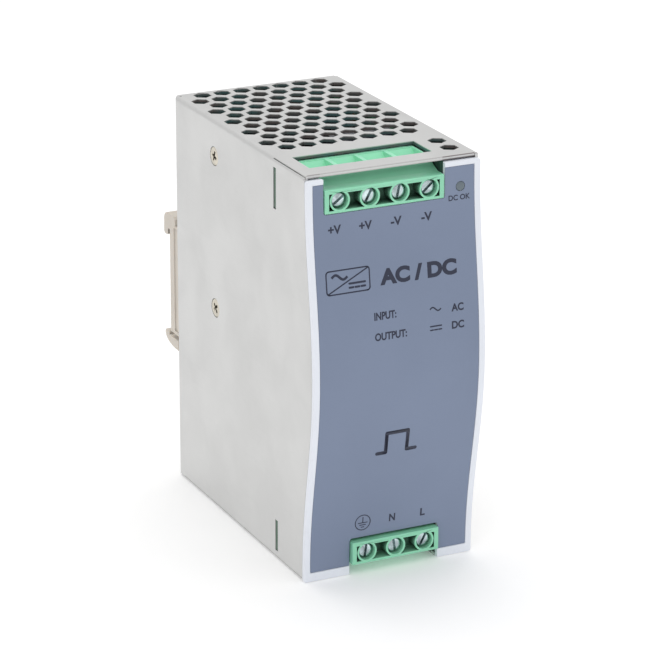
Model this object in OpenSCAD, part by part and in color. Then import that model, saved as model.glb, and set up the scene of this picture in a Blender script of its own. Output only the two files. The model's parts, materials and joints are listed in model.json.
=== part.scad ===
// DIN rail power supply: a folded sheet-metal case with a bowed plastic front, two green
// screw-terminal blocks, a spring-latched foot for a 35 mm top-hat rail, and its circuit boards.
//
// Frame: millimetres, +Z up, front towards -Y. The origin is under the middle of the whole
// outline, on the surface that the case stands on. Inside the modules y is counted from the
// front edge of the case's sheet metal; in_case() moves that into the part's own frame.

/* [Case] */
// Width of the case, left to right
case_w = 55.5; // [55:0.1:56]
// Height of the case
case_h = 125.2; // [125:0.1:126]
// Depth of the sheet metal, from its front edge to its back face
case_d = 92.5; // [92:0.1:93]
// Thickness of the folded sheet
sheet_t = 1; // [0.9:0.1:1.1]
// Outer radius of the folds
fold_r = 1.6; // [1.4:0.1:2]

/* [Front] */
// How far the bowed front stands out in front of the sheet metal
bulge_peak = 7; // [6.5:0.1:7.5]
// Height of the middle of the bow
bulge_z = 63.5; // [62:0.5:65]
// Distance from the middle of the bow to where the front is flat again
bulge_half = 59; // [57:0.5:60]
// Wall of the plastic front
bezel_t = 1.4; // [1.2:0.1:1.6]
// Thickness of the printed panel in its recess
label_t = 0.25; // [0.2:0.05:0.3]

/* [Vents] */
// Distance across the flats of a vent hole
vent_af = 5; // [4.6:0.1:5.2]
// Distance between vent holes in a row
vent_pitch_x = 6.6; // [6.5:0.1:6.8]
// Distance between rows of vent holes
vent_pitch_y = 6.08; // [6:0.02:6.2]

/* [Terminals] */
// Distance between the poles of a terminal block
pole_pitch = 9.5; // [9.4:0.1:9.5]
// Height of the output block's screws
output_screw_z = 117.1; // [117:0.1:117.1]
// Height of the input block's screws
input_screw_z = 7.1; // [7:0.1:7.3]
// Diameter of a clamp screw's thread
clamp_thread_d = 2.9; // [2.8:0.1:3]

/* [Rail clip] */
// Height of the middle of the mounting rail
rail_z = 62.7; // [62.5:0.1:63]
// Height of the rail
rail_h = 35; // [35]
// Distance from the back of the case to the face that the rail rests on
seat_d = 6; // [5.8:0.1:6.2]
// Distance from the back of the case to the rear of the hooks
clip_d = 10.5; // [10.3:0.1:10.7]

/* [Hidden] */
$fn = 48;

left_in = -case_w / 2 + sheet_t;     // inner face of the left wall
right_in = case_w / 2 - sheet_t;     // inner face of the side cover
top_in = case_h - sheet_t;           // underside of the top wall
back_in = case_d - sheet_t;          // inner face of the back wall
total_d = bulge_peak + case_d + clip_d;
front_y = bulge_peak - total_d / 2;  // where the sheet's front edge lies in the part's frame
gap = 0.1;                           // between pieces that are fitted together

flat_top = 1.8;        // how far the front stands out at its top end
flat_bottom = 0.6;     // and at its bottom end
front_steps = 40;      // chords that the bowed outline is drawn with
bezel_z0 = 0.2;
bezel_z1 = top_in - 0.15;
rim_d = 4.5;           // rear edge of the bezel's inner rim
rim_w = 1.5;           // wall of the rim

first_vent_y = 28.1;
vent_rows = 11;
spare_vent_x = 22.5;                 // two vents beside the output window, over the trimmer
spare_vent_y = [7.7, 15.3];

last_pole_x = 11.15;                 // the rightmost pole, the same on both blocks
output_poles = 4;
input_poles = 3;
block_x1 = last_pole_x + pole_pitch / 2;
output_x0 = block_x1 - output_poles * pole_pitch;
input_x0 = block_x1 - input_poles * pole_pitch;
window_y = [6.3, 18];                // the wire window in the top wall

board_t = 1.6;
output_board_y = 18.7;               // front faces of the terminal boards
input_board_y = 17.9;
output_tab_z = [110.1, 122.2];       // their tabs, which show in slots in the left wall
input_tab_z = [3.1, 12.6];
main_x = 21.4;                       // component side of the main board
side_screw_y = 62.5;
side_screw_z = [114, 65.9];
thread_d = 2.9;                      // M3 thread
tapped_d = 3.1;

// ---------------------------------------------------------------- helpers

module in_case() {
    translate([0, front_y, 0]) children();
}

// a box between two corners
module box(low, high) {
    translate(low) cube(high - low);
}

// an outline in (y, z) made solid from x0 to x1
module along_x(x0, x1) {
    translate([x0, 0, 0]) rotate([90, 0, 90]) linear_extrude(x1 - x0) children();
}

// an outline in (x, z) made solid from y0 to y1
module along_y(y0, y1) {
    translate([0, y1, 0]) rotate([90, 0, 0]) linear_extrude(y1 - y0) children();
}

module rod_x(d, x0, x1, y, z) {
    translate([x0, y, z]) rotate([0, 90, 0]) cylinder(d = d, h = x1 - x0);
}

module rod_y(d, x, y0, y1, z) {
    translate([x, y1, z]) rotate([90, 0, 0]) cylinder(d = d, h = y1 - y0);
}

module rod_z(d, x, y, z0, z1) {
    translate([x, y, z0]) cylinder(d = d, h = z1 - z0);
}

// how far the bezel's front surface lies behind the sheet's front edge, at a height
function front_at(z) =
    let (
        flat = z > bulge_z ? flat_top : flat_bottom,
        swing = min(abs(z - bulge_z) / bulge_half, 1)
    )
    -flat - (bulge_peak - flat) * (1 + cos(180 * swing)) / 2;

// outline in (y, z) from the front curve, moved back by near, to the plane y = far
module front_outline(z0, z1, near, far) {
    curve = [
        for (i = [0:front_steps])
        let (z = z0 + (z1 - z0) * i / front_steps)
        [front_at(z) + near, z]
    ];
    polygon(concat(curve, [[far, z1], [far, z0]]));
}

// band of constant depth that follows the front curve
module front_band(z0, z1, near, far) {
    front_edge = [
        for (i = [0:front_steps])
        let (z = z0 + (z1 - z0) * i / front_steps)
        [front_at(z) + near, z]
    ];
    rear_edge = [
        for (i = [front_steps:-1:0])
        let (z = z0 + (z1 - z0) * i / front_steps)
        [front_at(z) + far, z]
    ];
    polygon(concat(front_edge, rear_edge));
}

// countersunk cross-head screw along +X from its head's outer face
module flat_head_screw(x, y, z, length) {
    difference() {
        union() {
            head_cone(5.8, thread_d, x, x, y, z);
            rod_x(thread_d, x + 1, x + length, y, z);
        }
        cross_recess(x, y, z);
    }
}

// a head's rim from x0 to just past x, and its 45 degree cone down to the thread
module head_cone(head_d, end_d, x0, x, y, z) {
    rim = 0.3;
    rod_x(head_d, x0, x + rim, y, z);
    translate([x + rim, y, z]) rotate([0, 90, 0])
        cylinder(d1 = head_d, d2 = end_d, h = (head_d - end_d) / 2);
}

// the cross in a screw head that faces -X
module cross_recess(x, y, z) {
    arm = 3.2;
    for (turn = [20, 110])
        translate([x, y, z]) rotate([turn, 0, 0])
            translate([-1, -arm / 2, -0.35]) cube([2.2, arm, 0.7]);
}

// countersunk hole for such a screw, with its mouth at x
module flat_head_hole(x, y, z) {
    head_cone(6, tapped_d, x - 1, x, y, z);
    rod_x(tapped_d, x, x + 5, y, z);
}

// ---------------------------------------------------------------- case

// outline of a folded corner in plan: only the left rear corner is round
module plan_outline() {
    w = case_w;
    y0 = -bulge_peak - 1;
    translate([-w / 2 + fold_r, y0]) square([w - fold_r, case_d - y0]);
    translate([-w / 2, y0]) square([fold_r + 1, case_d - fold_r - y0]);
    translate([-w / 2 + fold_r, case_d - fold_r]) circle(r = fold_r);
}

// the left, top and bottom walls in (x, z), open to the right
module channel_outline() {
    in_r = fold_r - sheet_t;
    edge = right_in - 0.05;
    difference() {
        union() {
            translate([-case_w / 2 + fold_r, 0]) square([edge + case_w / 2 - fold_r, case_h]);
            translate([-case_w / 2, fold_r]) square([fold_r + 1, case_h - 2 * fold_r]);
            for (z = [fold_r, case_h - fold_r])
                translate([-case_w / 2 + fold_r, z]) circle(r = fold_r);
        }
        translate([left_in + in_r, sheet_t]) square([case_w, top_in - sheet_t]);
        translate([left_in, sheet_t + in_r]) square([case_w, top_in - sheet_t - 2 * in_r]);
        for (z = [sheet_t + in_r, top_in - in_r])
            translate([left_in + in_r, z]) circle(r = in_r);
    }
}

// one vent hole, with two of its corners towards the front and the back
module vent(x, y, z) {
    translate([x, y, z - sheet_t - 1]) rotate([0, 0, 30])
        cylinder(d = vent_af / cos(30), h = sheet_t + 2, $fn = 6);
}

// the field of vents through the wall whose outer or inner face is at z
module vent_field(z) {
    for (row = [0:vent_rows - 1]) {
        holes = row % 2 == 0 ? 7 : 8;
        for (i = [0:holes - 1])
            vent((i - (holes - 1) / 2) * vent_pitch_x, first_vent_y + row * vent_pitch_y, z);
    }
}

tab_t = sheet_t;
tab_y = [[30, 40], [72, 82]];        // tabs along the top and bottom walls
tab_len = 10;
back_tab_z = [57, 67];

// where the side cover's screws go, in (y, z)
cover_screw_at = concat(
    [for (t = tab_y) [(t[0] + t[1]) / 2, top_in - tab_len / 2 - 1]],
    [for (t = tab_y) [(t[0] + t[1]) / 2, sheet_t + tab_len / 2 + 1]],
    [[back_in - tab_len / 2 - 1, (back_tab_z[0] + back_tab_z[1]) / 2]]
);

// lips inside the side cover, folded from the top, bottom and back walls
module cover_tabs() {
    x1 = right_in - 0.05;
    x0 = x1 - tab_t;
    for (t = tab_y) {
        box([x0, t[0], top_in - tab_len], [x1, t[1], top_in + 0.5]);
        box([x0, t[0], sheet_t - 0.5], [x1, t[1], sheet_t + tab_len]);
    }
    box([x0, back_in - tab_len, back_tab_z[0]], [x1, back_in + 0.5, back_tab_z[1]]);
}

// slot in the left wall for a terminal board's tab
module board_slot(y, z) {
    box([-case_w, y - gap, z[0] - 0.2], [left_in + 0.1, y + board_t + gap, z[1] + 0.2]);
}

module chassis() {
    color("gainsboro") in_case() difference() {
        union() {
            intersection() {
                difference() {
                    along_y(-bulge_peak, case_d) channel_outline();
                    // the left wall's front edge follows the bezel
                    along_x(-case_w, case_w)
                        front_outline(-1, case_h + 1, bezel_t + gap, -bulge_peak - 5);
                    box([left_in, -bulge_peak - 5, top_in - 1], [case_w, 0, case_h + 1]);
                    box([left_in, -bulge_peak - 5, -1], [case_w, 1, sheet_t + 1]);
                }
                linear_extrude(case_h) plan_outline();
            }
            // back wall, folded from the left wall and butted between top and bottom
            intersection() {
                box([-case_w / 2, back_in, sheet_t - 0.2], [right_in - 0.05, case_d, top_in + 0.2]);
                linear_extrude(case_h) plan_outline();
            }
            cover_tabs();
        }
        // seams between the back wall and the top and bottom walls
        for (z = [top_in - 0.15, sheet_t])
            box([-case_w / 2 + fold_r, back_in - 0.1, z], [case_w, case_d + 1, z + 0.15]);
        // relief holes where three folds meet
        for (z = [-1, top_in - 0.5])
            rod_z(0.9, -case_w / 2 + fold_r, case_d - fold_r, z, z + sheet_t + 1.5);
        // slit along the front of the top fold, and the step of the bottom fold
        box([-case_w / 2 + 0.35, -2, top_in - 0.1], [-case_w / 2 + 0.65, 21, case_h + 1]);
        box([-case_w / 2 - 1, -2, sheet_t], [-case_w / 2 + 0.25, case_d - 5, sheet_t + 0.3]);
        vent_field(case_h);
        vent_field(sheet_t);
        for (y = spare_vent_y)
            vent(spare_vent_x, y, case_h);
        // wire window in the top wall, and the slot open to the front in the bottom wall
        box([output_x0 - 0.9, window_y[0], top_in - 1], [block_x1 + 0.3, window_y[1], case_h + 1]);
        box([input_x0 - notch_left, -2, -1],
            [block_x1 + notch_right, window_y[1], sheet_t + 1]);
        // slots for the terminal boards' tabs
        board_slot(output_board_y, output_tab_z);
        board_slot(input_board_y, input_tab_z);
        for (z = side_screw_z)
            flat_head_hole(-case_w / 2, side_screw_y, z);
        for (p = cover_screw_at)
            mirror([1, 0, 0]) flat_head_hole(-case_w / 2, p[0], p[1]);
        for (x = clip_screw_x)
            rod_y(tapped_d, x, back_in - 1, case_d + 1, rail_z);
    }
}

module side_cover() {
    x1 = case_w / 2;
    color("gainsboro") in_case() difference() {
        along_x(x1 - sheet_t, x1)
            front_outline(0.2, case_h - 0.2, bezel_t + gap, case_d);
        for (p = cover_screw_at)
            mirror([1, 0, 0]) flat_head_hole(-x1, p[0], p[1]);
    }
}

module side_screws() {
    color("silver") in_case()
        for (z = side_screw_z)
            flat_head_screw(-case_w / 2, side_screw_y, z, 7);
}

module cover_screws() {
    color("silver") in_case()
        for (p = cover_screw_at)
            mirror([1, 0, 0]) flat_head_screw(-case_w / 2, p[0], p[1], 4);
}

module insulation_sheet() {
    color("ivory") in_case()
        box([right_in - 0.4, 27, 15], [right_in, 80.5, 110]);
}

// ---------------------------------------------------------------- front

notch_left = 0.6;       // room beside a block in its notch, on its left
notch_right = 0.3;      // and on its right
output_notch_z = output_screw_z - 3.7;
input_notch_z = input_screw_z + 4.1;
led_x = 21.3;
led_z = 116.3;

// the two cut-outs that the terminal blocks stand in
module notches(grow) {
    x1 = block_x1 + notch_right + grow;
    box([output_x0 - notch_left - grow, -20, output_notch_z - grow], [x1, 20, case_h + 1]);
    box([input_x0 - notch_left - grow, -20, -1], [x1, 20, input_notch_z + grow]);
}

module front_bezel() {
    w = case_w;
    inside = 2 * right_in - 0.4;         // width of the rim that enters the case
    color("lavender") in_case() difference() {
        union() {
            along_x(-w / 2, w / 2) front_band(bezel_z0, bezel_z1, 0, bezel_t);
            difference() {
                along_x(-inside / 2, inside / 2)
                    front_outline(sheet_t + 0.2, top_in - 0.3, bezel_t - 0.1, rim_d);
                along_x(-inside / 2 + rim_w, inside / 2 - rim_w)
                    front_outline(sheet_t + 0.2 + rim_w, top_in - 0.3 - rim_w, bezel_t, rim_d + 1);
            }
        }
        notches(0);
        label_blank(0.1, label_t + 0.05, 0);
        rod_y(3, led_x, -10, 5, led_z);
    }
}

label_side = 1.9;
label_z = [2.9, 122.5];

// the label's space, from above the front surface to depth below it
module label_blank(above, depth, shrink) {
    x1 = case_w / 2 - label_side - shrink;
    along_x(-x1, x1)
        front_band(label_z[0] + shrink, label_z[1] - shrink, -above, depth);
}

module front_label() {
    color("slategray") in_case() difference() {
        label_blank(0, label_t, 0.05);
        notches(0.15);
        rod_y(3, led_x, -10, 5, led_z);
    }
}

lens_y = [front_at(led_z) - 0.05, front_at(led_z) + bezel_t + 0.15];
lens_flange = 1;

module ok_lens() {
    color("dimgray") in_case() {
        rod_y(2.8, led_x, lens_y[0], lens_y[1], led_z);
        rod_y(4, led_x, lens_y[1], lens_y[1] + lens_flange, led_z);
    }
}

module status_led() {
    back = lens_y[1] + lens_flange + gap;
    color("darkseagreen") in_case() {
        rod_y(3, led_x, back, back + 4, led_z);
        rod_y(3.8, led_x, back + 4, back + 5, led_z);
    }
    // leads, bent aside so that the trimmer can be reached from above
    color("silver") in_case()
        for (z = [led_z - 1.27, led_z + 1.27]) {
            box([led_x - 0.25, back + 5, z - 0.25], [led_x + 0.25, back + 6.5, z + 0.25]);
            box([17, back + 6, z - 0.25], [led_x + 0.25, back + 6.5, z + 0.25]);
            box([17, back + 6, z - 0.25], [17.5, output_board_y, z + 0.25]);
        }
}

// ---------------------------------------------------------------- terminals

nose_y = -2;           // front face of a block, a little ahead of the bezel
nose_h = 7;            // its height
recess_d = 4.2;        // how deep the pockets round the collars are
pocket_z = [-2.75, 2.2]; // and their heights about the screws, on both blocks
collar_od = 6.4;
well_d = 5.2;
well_y = 1.2;          // floor of a screw's well
chamber_y = [4.3, 17.1];
chamber_z = [-5.4, 3.1]; // heights between which a cage slides
cage_half = 2.9;       // half the width and height of a cage
bar_y = [11.7, 12.7];  // the fixed contact bar
block_top = 6.7;       // top of a block above its screws
block_low = 7.5;       // bottom of a block below its screws

// side outline of a block in (y, z) about its screws' height, wires entering from above
module block_outline(back) {
    shelf = nose_h / 2;
    rise = [
        for (t = [0:0.125:1])
        [1.5 + 6.5 * t, shelf + (block_top - shelf) * pow(t, 1.4)]
    ];
    polygon(concat(
        [[nose_y, -nose_h / 2], [nose_y, shelf]],
        rise,
        [[back, block_top], [back, -block_low], [2, -block_low], [2, -nose_h / 2]]
    ));
}

// wire funnel of one pole in (y, z): a wide mouth whose sloping back guides the wire down
// to the narrow passage over the cage
module funnel_outline() {
    mouth_y = [9.2, 17.2];
    throat_y = [12.3, 14.8];
    slope = mouth_y[1] - throat_y[1];
    polygon([
        [mouth_y[0], block_top + 1], [mouth_y[0], block_top - 2], [throat_y[0], 4.2],
        [throat_y[0], 3], [throat_y[1], 3], [throat_y[1], block_top - 0.3 - slope],
        [mouth_y[1], block_top - 0.3], [mouth_y[1], block_top + 1]
    ]);
}

// a block of poles about the height of its screws, wires entering from above
module terminal_block(poles, back, pocket_z) {
    x0 = block_x1 - poles * pole_pitch;
    wall = 1.4;
    difference() {
        union() {
            difference() {
                along_x(x0, block_x1) block_outline(back);
                box([x0 + wall, nose_y - 1, pocket_z[0]],
                    [block_x1 - wall, nose_y + recess_d, pocket_z[1]]);
            }
            for (i = [0:poles - 1])
                rod_y(collar_od, last_pole_x - i * pole_pitch, nose_y, nose_y + recess_d + 0.5, 0);
        }
        for (i = [0:poles - 1]) {
            x = last_pole_x - i * pole_pitch;
            rod_y(well_d, x, nose_y - 1, well_y, 0);
            rod_y(3.5, x, well_y - 1, chamber_y[0] + 1, 0);
            box([x - 3.3, chamber_y[0], chamber_z[0]], [x + 3.3, chamber_y[1], chamber_z[1]]);
            along_x(x - 2.7, x + 2.7) funnel_outline();
            along_x(x - 4.1, x + 4.1) intersection() {
                funnel_outline();
                translate([0, block_top - 2.6]) square([20, 10]);
            }
            // the contact bar leaves through the floor, towards the board
            box([x - 1.6, bar_y[0] - 0.1, -block_low - 1], [x + 1.6, bar_y[1] + 0.1, -4]);
        }
    }
}

module output_terminal() {
    color("mediumaquamarine") in_case() translate([0, 0, output_screw_z])
        terminal_block(output_poles, output_board_y, pocket_z);
}

module input_terminal() {
    color("mediumaquamarine") in_case() translate([0, 0, input_screw_z]) mirror([0, 0, 1])
        terminal_block(input_poles, input_board_y, [-pocket_z[1], -pocket_z[0]]);
}

head_y = [-0.9, 1.1];
tip_y = bar_y[0] - 0.2;

// one clamp screw on its own axis; turn sets how its slot lies
module clamp_screw(turn) {
    difference() {
        union() {
            rod_y(4.5, 0, head_y[0], head_y[1], 0);
            rod_y(clamp_thread_d, 0, head_y[1], tip_y, 0);
        }
        rotate([0, turn, 0]) box([-3, head_y[0] - 1, -0.4], [3, head_y[0] + 0.9, 0.4]);
    }
}

slot_turn = [-36, -62, -78, -42];

module output_screw(i) {
    color("silver") in_case()
        translate([last_pole_x - (output_poles - i) * pole_pitch, 0, output_screw_z])
            clamp_screw(slot_turn[i - 1]);
}

module input_screw(i) {
    color("silver") in_case()
        translate([last_pole_x - (input_poles - i) * pole_pitch, 0, input_screw_z])
            clamp_screw(slot_turn[i] - 20);
}

cage_y = [8, 16.8];    // a cage at rest, opened for a wire

// one rising clamp: a square loop that the screw pulls towards its head
module clamp_cage() {
    difference() {
        box([-cage_half, cage_y[0], -cage_half], [cage_half, cage_y[1], cage_half]);
        box([-2.1, cage_y[0] + 1.6, -4], [2.1, cage_y[1] - 0.8, 4]);
        rod_y(clamp_thread_d + 0.1, 0, cage_y[0] - 1, cage_y[0] + 3, 0);
    }
}

module output_cage(i) {
    color("goldenrod") in_case()
        translate([last_pole_x - (output_poles - i) * pole_pitch, 0, output_screw_z])
            clamp_cage();
}

module input_cage(i) {
    color("goldenrod") in_case()
        translate([last_pole_x - (input_poles - i) * pole_pitch, 0, input_screw_z])
            clamp_cage();
}

// contact bars: down through each cage, out of the block's floor and back to the board
module contact_bars(poles, back) {
    for (i = [0:poles - 1]) {
        x = last_pole_x - i * pole_pitch;
        box([x - 1.5, bar_y[0], -block_low - 1.5], [x + 1.5, bar_y[1], chamber_z[1] - 0.1]);
        box([x - 1.5, bar_y[0], -block_low - 1.5], [x + 1.5, back + board_t + 0.8, -block_low - 0.7]);
    }
}

module output_contacts() {
    color("darkgoldenrod") in_case() translate([0, 0, output_screw_z])
        contact_bars(output_poles, output_board_y);
}

module input_contacts() {
    color("darkgoldenrod") in_case() translate([0, 0, input_screw_z]) mirror([0, 0, 1])
        contact_bars(input_poles, input_board_y);
}

// ---------------------------------------------------------------- boards

// slots in a terminal board for its contact bars
module bar_slots(poles, y, z) {
    for (i = [0:poles - 1]) {
        x = last_pole_x - i * pole_pitch;
        box([x - 1.6, y - 1, z - 0.1], [x + 1.6, y + board_t + 1, z + 0.9]);
    }
}

module output_board() {
    y = output_board_y;
    color("darkgreen") in_case() difference() {
        union() {
            box([left_in + 0.3, y, 100], [25.5, y + board_t, 123]);
            box([-case_w / 2 + 0.2, y, output_tab_z[0]], [0, y + board_t, output_tab_z[1]]);
        }
        bar_slots(output_poles, y, output_screw_z - block_low - 1.5);
    }
}

module input_board() {
    y = input_board_y;
    color("darkgreen") in_case() difference() {
        union() {
            box([left_in + 0.3, y, 2.3], [25.5, y + board_t, 24]);
            box([-case_w / 2 + 0.2, y, input_tab_z[0]], [0, y + board_t, input_tab_z[1]]);
        }
        bar_slots(input_poles, y, input_screw_z + block_low + 0.7);
    }
}

spacer_at = [[24.2, 30], [24.2, 97.5], [87, 12], [87, 92]];

module main_board() {
    color("darkgreen") in_case() difference() {
        box([main_x, output_board_y + board_t + gap, 3.5], [main_x + board_t, 90, 121.5]);
        for (p = spacer_at)
            rod_x(3.3, main_x - 1, main_x + board_t + 1, p[0], p[1]);
    }
}

module board_spacers() {
    color("silver") in_case()
        for (p = spacer_at)
            difference() {
                rod_x(5.5, main_x + board_t, right_in, p[0], p[1]);
                rod_x(tapped_d, main_x, right_in + 1, p[0], p[1]);
            }
}

// a pan-head screw along +X whose head is seated at x
module pan_screw(x, y, z, length) {
    difference() {
        union() {
            rod_x(5.4, x - 2, x, y, z);
            rod_x(thread_d, x, x + length, y, z);
        }
        cross_recess(x - 2, y, z);
    }
}

module board_screws() {
    color("silver") in_case()
        for (p = spacer_at)
            pan_screw(main_x, p[0], p[1], 5);
}

// ---------------------------------------------------------------- components

// a pair of leads along X that reach the main board
module leads(x0, y, z, step_y, step_z) {
    for (s = [-1, 1])
        rod_x(0.8, x0, main_x, y + s * step_y / 2, z + s * step_z / 2);
}

module fuse() {
    x = 16;
    y = 29.5;
    cap_l = 5;
    cap_z = [26, 39];                  // lower ends of the two end caps
    color("white") in_case() rod_z(4.8, x, y, cap_z[0] + 2, cap_z[1] + 3);
    color("silver") in_case()
        for (z = cap_z) {
            rod_z(5.2, x, y, z, z + cap_l);
            box([x, y - 2, z + 1], [main_x, y + 2, z + cap_l - 1]);
        }
}

// a round disc on edge with two leads, its centre disc_d / 2 + 1.5 off the board
module disc_part(disc_d, y0, y1, z, lead_pitch, shade) {
    x = main_x - disc_d / 2 - 1.5;
    color(shade) in_case() rod_y(disc_d, x, y0, y1, z);
    color("silver") in_case() leads(x, (y0 + y1) / 2, z, 0, lead_pitch);
}

module varistor() {
    disc_part(14, 33.5, 38, 16, 7.5, "royalblue");
}

module inrush_thermistor() {
    disc_part(11, 42, 46, 16, 5, "darkolivegreen");
}

module x_capacitors() {
    size = [15, 8.5, 18];
    color("gold") in_case()
        for (y = [50, 75])
            translate([main_x - size[0], y, 8]) cube(size);
}

module y_capacitors() {
    for (y = [63, 69])
        disc_part(9, y, y + 4, 14, 5, "steelblue");
}

choke_y = 74;
choke_z = 42;

module ring_x(outer_d, inner_d, x0, x1, y, z) {
    difference() {
        rod_x(outer_d, x0, x1, y, z);
        rod_x(inner_d, x0 - 1, x1 + 1, y, z);
    }
}

module choke_core() {
    color("darkslategray") in_case() ring_x(23, 12, 7, 19, choke_y, choke_z);
}

module choke_windings() {
    middle = 10;                       // height of each winding's middle above the ring's
    half = 7;
    color("peru") in_case()
        for (side = [-1, 1])
            intersection() {
                difference() {
                    ring_x(27, 8, 5, main_x, choke_y, choke_z);
                    ring_x(23.2, 11.8, 6.9, 19.1, choke_y, choke_z);
                }
                translate([0, choke_y - 20, choke_z + side * middle - half])
                    cube([30, 40, 2 * half]);
            }
}

module bridge_rectifier() {
    body_x = [2, 19];
    body_y = [84.8, 89];
    body_z = [60, 82];
    lead_pitch = 5.6;
    color("dimgray") in_case()
        box([body_x[0], body_y[0], body_z[0]], [body_x[1], body_y[1], body_z[1]]);
    color("silver") in_case()
        for (i = [0:3])
            translate([body_x[1], body_y[0] + 1.7, body_z[0] + 2 + i * lead_pitch])
                cube([main_x - body_x[1], 0.8, 1.2]);
}

module bulk_capacitors() {
    cap_l = 32.4;
    color("midnightblue") in_case()
        for (c = [[16, 33], [18, 51]])     // diameter and y of each
            rod_x(c[0], main_x - cap_l, main_x, c[1], 55);
}

sink_y = [66.5, 69];

device_x = [-4, 2.2, 11];        // end of a device's tab, then the two ends of its body
device_hole_x = device_x[0] + 3;
tab_d = 1.3;                     // thickness of the tab

// an L-shaped heatsink: a web from the board to the left wall and a flange on the wall
module heatsink(z0, z1, flange_z0, flange_z1, screw_z) {
    difference() {
        union() {
            box([left_in, sink_y[0], z0], [main_x - 1, sink_y[1], z1]);
            box([left_in, 57, flange_z0], [left_in + 3, sink_y[1], flange_z1]);
        }
        flat_head_hole(-case_w / 2, side_screw_y, screw_z);
        rod_y(tapped_d, device_hole_x, sink_y[0] - 1, sink_y[1] + 1, screw_z);
    }
}

module primary_heatsink() {
    color("lightsteelblue") in_case() heatsink(57.5, 79, 58, 79, side_screw_z[1]);
}

module secondary_heatsink() {
    color("lightsteelblue") in_case() heatsink(103, 122.8, 105, 122.8, side_screw_z[0]);
}

// a power device flat on a heatsink's web, with its three leads running to the board
module power_device(z) {
    y0 = sink_y[0] - 4.5;
    y1 = sink_y[0];
    lead_pitch = 2.54;
    color("dimgray") in_case() difference() {
        union() {
            box([device_x[1], y0, z - 5], [device_x[2], y1, z + 5]);
            box([device_x[0], y1 - tab_d, z - 5], [device_x[2], y1, z + 5]);
        }
        rod_y(3.4, device_hole_x, y0 - 1, y1 + 1, z);
    }
    color("silver") in_case()
        for (s = [-1, 0, 1])
            translate([device_x[2], y0 + 1.5, z + s * lead_pitch - 0.4])
                cube([main_x - device_x[2], 0.6, 0.8]);
}

module power_transistor() {
    power_device(side_screw_z[1]);
}

module output_diode() {
    power_device(side_screw_z[0]);
}

module device_screws() {
    head_at = sink_y[0] - tab_d;
    color("silver") in_case()
        for (z = side_screw_z)
            difference() {
                union() {
                    rod_y(thread_d, device_hole_x, head_at, sink_y[1] + 1, z);
                    rod_y(5.4, device_hole_x, head_at - 2.1, head_at, z);
                }
                translate([device_hole_x, head_at - 3, z])
                    for (turn = [15, 105])
                        rotate([0, turn, 0]) box([-1.6, 0, -0.35], [1.6, 2.1, 0.35]);
            }
}

core_x = [1, 12];
core_y = [26, 58];
core_z = [68, 96];
core_limb = 5;                   // thickness of the outer limbs and the yokes
leg_y = [37.5, 46.5];            // middle leg, which carries the bobbin

module transformer_core() {
    color("darkslategray") in_case() difference() {
        box([core_x[0], core_y[0], core_z[0]], [core_x[1], core_y[1], core_z[1]]);
        for (y = [[core_y[0] + core_limb, leg_y[0]], [leg_y[1], core_y[1] - core_limb]])
            box([core_x[0] - 1, y[0], core_z[0] + core_limb],
                [core_x[1] + 1, y[1], core_z[1] - core_limb]);
    }
}

module transformer_bobbin() {
    wall = 1;
    flange_t = 1.2;
    y = [core_y[0] + core_limb + 0.2, core_y[1] - core_limb - 0.2];
    z0 = core_z[0] + core_limb + gap;
    z1 = core_z[1] - core_limb - gap;
    color("black") in_case() difference() {
        union() {
            box([core_x[0] - wall, leg_y[0] - wall, z0], [core_x[1] + wall, leg_y[1] + wall, z1]);
            for (z = [z0, z1 - flange_t])
                box([core_x[0] - 6, y[0], z], [main_x, y[1], z + flange_t]);
        }
        box([core_x[0] - gap, leg_y[0] - gap, z0 - 1], [core_x[1] + gap, leg_y[1] + gap, z1 + 1]);
    }
}

module transformer_winding() {
    side = 5.5;                        // how far the winding stands out past the core's faces
    end = core_limb + 1.4;
    hole = 1 + gap;
    color("khaki") in_case() difference() {
        box([core_x[0] - side, core_y[0] + core_limb + 0.6, core_z[0] + end],
            [core_x[1] + side, core_y[1] - core_limb - 0.6, core_z[1] - end]);
        box([core_x[0] - hole, leg_y[0] - hole, core_z[0]],
            [core_x[1] + hole, leg_y[1] + hole, core_z[1]]);
    }
}

inductor_y = 79.5;
inductor_z = 108;

module inductor_core() {
    color("khaki") in_case() ring_x(16, 8.6, 9, 18, inductor_y, inductor_z);
}

module inductor_winding() {
    color("peru") in_case() intersection() {
        difference() {
            ring_x(19, 5.6, 7.4, main_x, inductor_y, inductor_z);
            ring_x(16.2, 8.4, 8.9, 18.1, inductor_y, inductor_z);
        }
        box([0, inductor_y - 6, inductor_z - 20], [30, inductor_y + 20, inductor_z + 20]);
    }
}

output_cap_at = [[27.5, 106.5], [39.5, 106.5], [51.5, 106.5], [33.5, 117], [45.5, 117]];

module output_capacitors() {
    color("darkslategray") in_case()
        for (p = output_cap_at)
            rod_x(10, main_x - 20, main_x, p[0], p[1]);
}

module optocouplers() {
    color("whitesmoke") in_case()
        for (z = [84, 90])
            box([main_x - 3.5, 62, z], [main_x, 66.5, z + 4.6]);
}

module control_chip() {
    color("black") in_case() box([main_x - 3.4, 73, 84], [main_x, 79.4, 93.5]);
}

trim_x = spare_vent_x;
trim_y = spare_vent_y[1];
trim_top = 118;

module trimmer_body() {
    size = [6.6, 6.7, 6.5];
    color("royalblue") in_case() difference() {
        translate([trim_x - size[0] / 2, output_board_y - size[1], trim_top - size[2]]) cube(size);
        rod_z(5.2, trim_x, trim_y, trim_top - 1.4, trim_top + 1);
    }
}

module trimmer_rotor() {
    color("gold") in_case() difference() {
        rod_z(5, trim_x, trim_y, trim_top - 1.3, trim_top + 0.3);
        box([trim_x - 3, trim_y - 0.4, trim_top - 0.5], [trim_x + 3, trim_y + 0.4, trim_top + 1]);
    }
}

// ---------------------------------------------------------------- rail clip

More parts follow.
